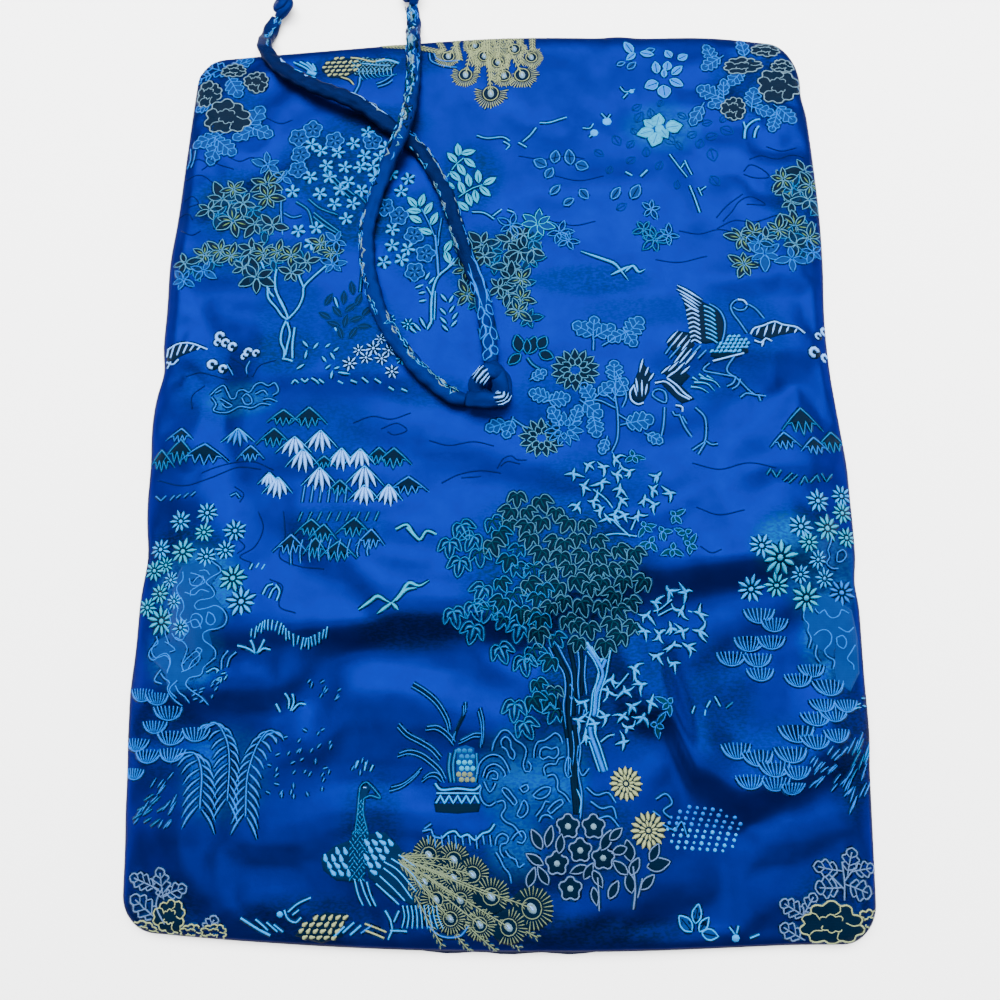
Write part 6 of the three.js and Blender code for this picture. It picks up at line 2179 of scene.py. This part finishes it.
def streak(tie_runs, thread, start, stop, aside, half, bend=0.0):
    """A thread along a strand, with a slight bend."""
    share = np.linspace(0, 1, max(int(abs(stop - start) / 0.8), 3))
    line = np.stack([start + (stop - start) * share, aside + bend * np.sin(math.pi * share)], axis=1)
    halves = half * np.interp(share, [0, 0.2, 0.8, 1], [0.4, 1, 1, 0.3])
    tie_runs.setdefault(thread, []).append((line, halves))


FLECKS = {
    # from, to, side they keep to, spread to both sides, flecks to a millimetre, half width, threads
    "tie_left": chart("""
        42 92 -2 0.4 0.7 0.22 pearl ice sage; 42 92 2 0.4 0.7 0.22 pearl sky;
        96 112 1.5 0.2 0.8 0.24 pearl rose; 112 142 1.8 0.3 0.2 0.34 rose ice;
        142 168 1.2 1 0.7 0.26 ice sage sky
    """),
    "tie_right": chart("""
        2 40 1.6 0.7 1.5 0.26 ice sage pearl ink; 42 92 -1.6 0.7 1.3 0.26 ice sky pearl ink;
        98 165 -1 1.4 2.2 0.42 ice sage pearl ink moss; 98 165 1.2 0.6 0.5 0.3 sky ink
    """),
}
# along the strand, aside, turn, length
LEAVES_ON_TIE = chart("""
3 -0.9 20 4.4; 4.6 1.2 -30 3.6; 7.6 -0.2 8 5.6; 10.4 1.6 -14 4.6; 11 -1.6 24 4.8; 14.6 0.2 -10 5.2;
17.6 -1.4 16 4.4; 18.4 1.5 -24 4; 23 2.4 0 4.6; 27 -2.4 0 4.6
""")


def fleck_runs(name):
    """Short broken threads along a strand, where the garden was cut into strips."""
    tie_runs = {}
    for start, stop, keep, spread, rate, half, *threads in FLECKS[name]:
        for number in range(int((stop - start) * rate)):
            at = start + (stop - start) * chance.random()
            aside = keep + spread * chance.uniform(-1, 1)
            reach = 0.6 + 1.1 * chance.random()
            bend = 0.5 * chance.normal()
            streak(tie_runs, threads[number % len(threads)], at - reach, at + reach, aside, half, bend)
    return tie_runs


print("flecks are charted for", sorted(FLECKS))

# %% Lay the strands
TIE_LEAF_HALF, TIE_LINE_HALF = 1.25, 0.27
# How strongly, and from where to where along y, the left strand is darkened with painted shade.
STRAND_SHADE_DEPTH, STRAND_SHADE_FROM, STRAND_SHADE_FROM_FADE = 2.5, 44, 16
STRAND_SHADE_LOSS, STRAND_SHADE_TO, STRAND_SHADE_TO_FADE = 0.7, 134, 10

for name, route in (("tie_left", left_route), ("tie_right", right_route)):
    strand = mesh_piece(name + "_strand", *tube(route, TIE_WIDTH, TIE_THICK, STRAND_TAPER), tie_satin, "tie")
    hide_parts(name)
    tie_runs = fleck_runs(name)
    if name == "tie_left":
        # Painted shade: the left strand darkens towards navy from about y 44 upwards, and keeps only a third
        # of it past y 134.
        points = np.empty(3 * len(strand.data.vertices))
        strand.data.vertices.foreach_get("co", points)
        level = points.reshape(-1, 3)[:, 1] / MM
        shade_kept = 1 - STRAND_SHADE_LOSS * smooth_step((level - STRAND_SHADE_TO) / STRAND_SHADE_TO_FADE)
        dark = STRAND_SHADE_DEPTH * smooth_step((level - STRAND_SHADE_FROM) / STRAND_SHADE_FROM_FADE) * shade_kept
        layer = strand.data.attributes.new("strand_shade", "FLOAT", "POINT")
        layer.data.foreach_set("value", dark)
        for along, aside, turn, length in LEAVES_ON_TIE:
            outline = closed(turned(LEAF_OUTLINE, turn, (along, aside), (length, TIE_LEAF_HALF)))
            leaf_line = through_points(outline, KNOT_STEP)
            tie_runs.setdefault("sky", []).append((leaf_line, np.full(len(leaf_line), TIE_LINE_HALF)))
        for aside, bend in ((-1.5, 0.8), (-0.4, -0.7), (0.8, 0.9), (1.8, -0.5)):
            streak(tie_runs, "sky", 20 + aside, 36 + 2 * aside, aside, TIE_LINE_HALF, bend)
    flecks = [
        thread_piece(f"{name}_{thread}_flecks", thread, runs, [], strand_surface(route), "tie")
        for thread, runs in tie_runs.items()
    ]
    print(name, "length, mm:", round(route_length(route), 1))

# %% Stripe the middle knot
knot_marks = np.concatenate([[0], np.cumsum(np.linalg.norm(np.diff(knot_route, axis=0), axis=1))])
knot_runs = {}
for place in ((-3.5, 18.7, 9.8), (2.2, 11.7, 8.9)):
    middle = knot_marks[np.argmin(np.linalg.norm(knot_route - place, axis=1))]
    for number in range(-4, 5):
        reach = 2.4 - 0.2 * abs(number)
        streak(knot_runs, "ink" if number % 2 else "rose", middle - reach, middle + reach, 0.56 * number, 0.3)
knot_surface = strand_surface(knot_route, KNOT_WIDTH, KNOT_THICK)
for thread, runs in knot_runs.items():
    thread_piece(f"tie_knot_{thread}_flecks", thread, runs, [], knot_surface, "tie")
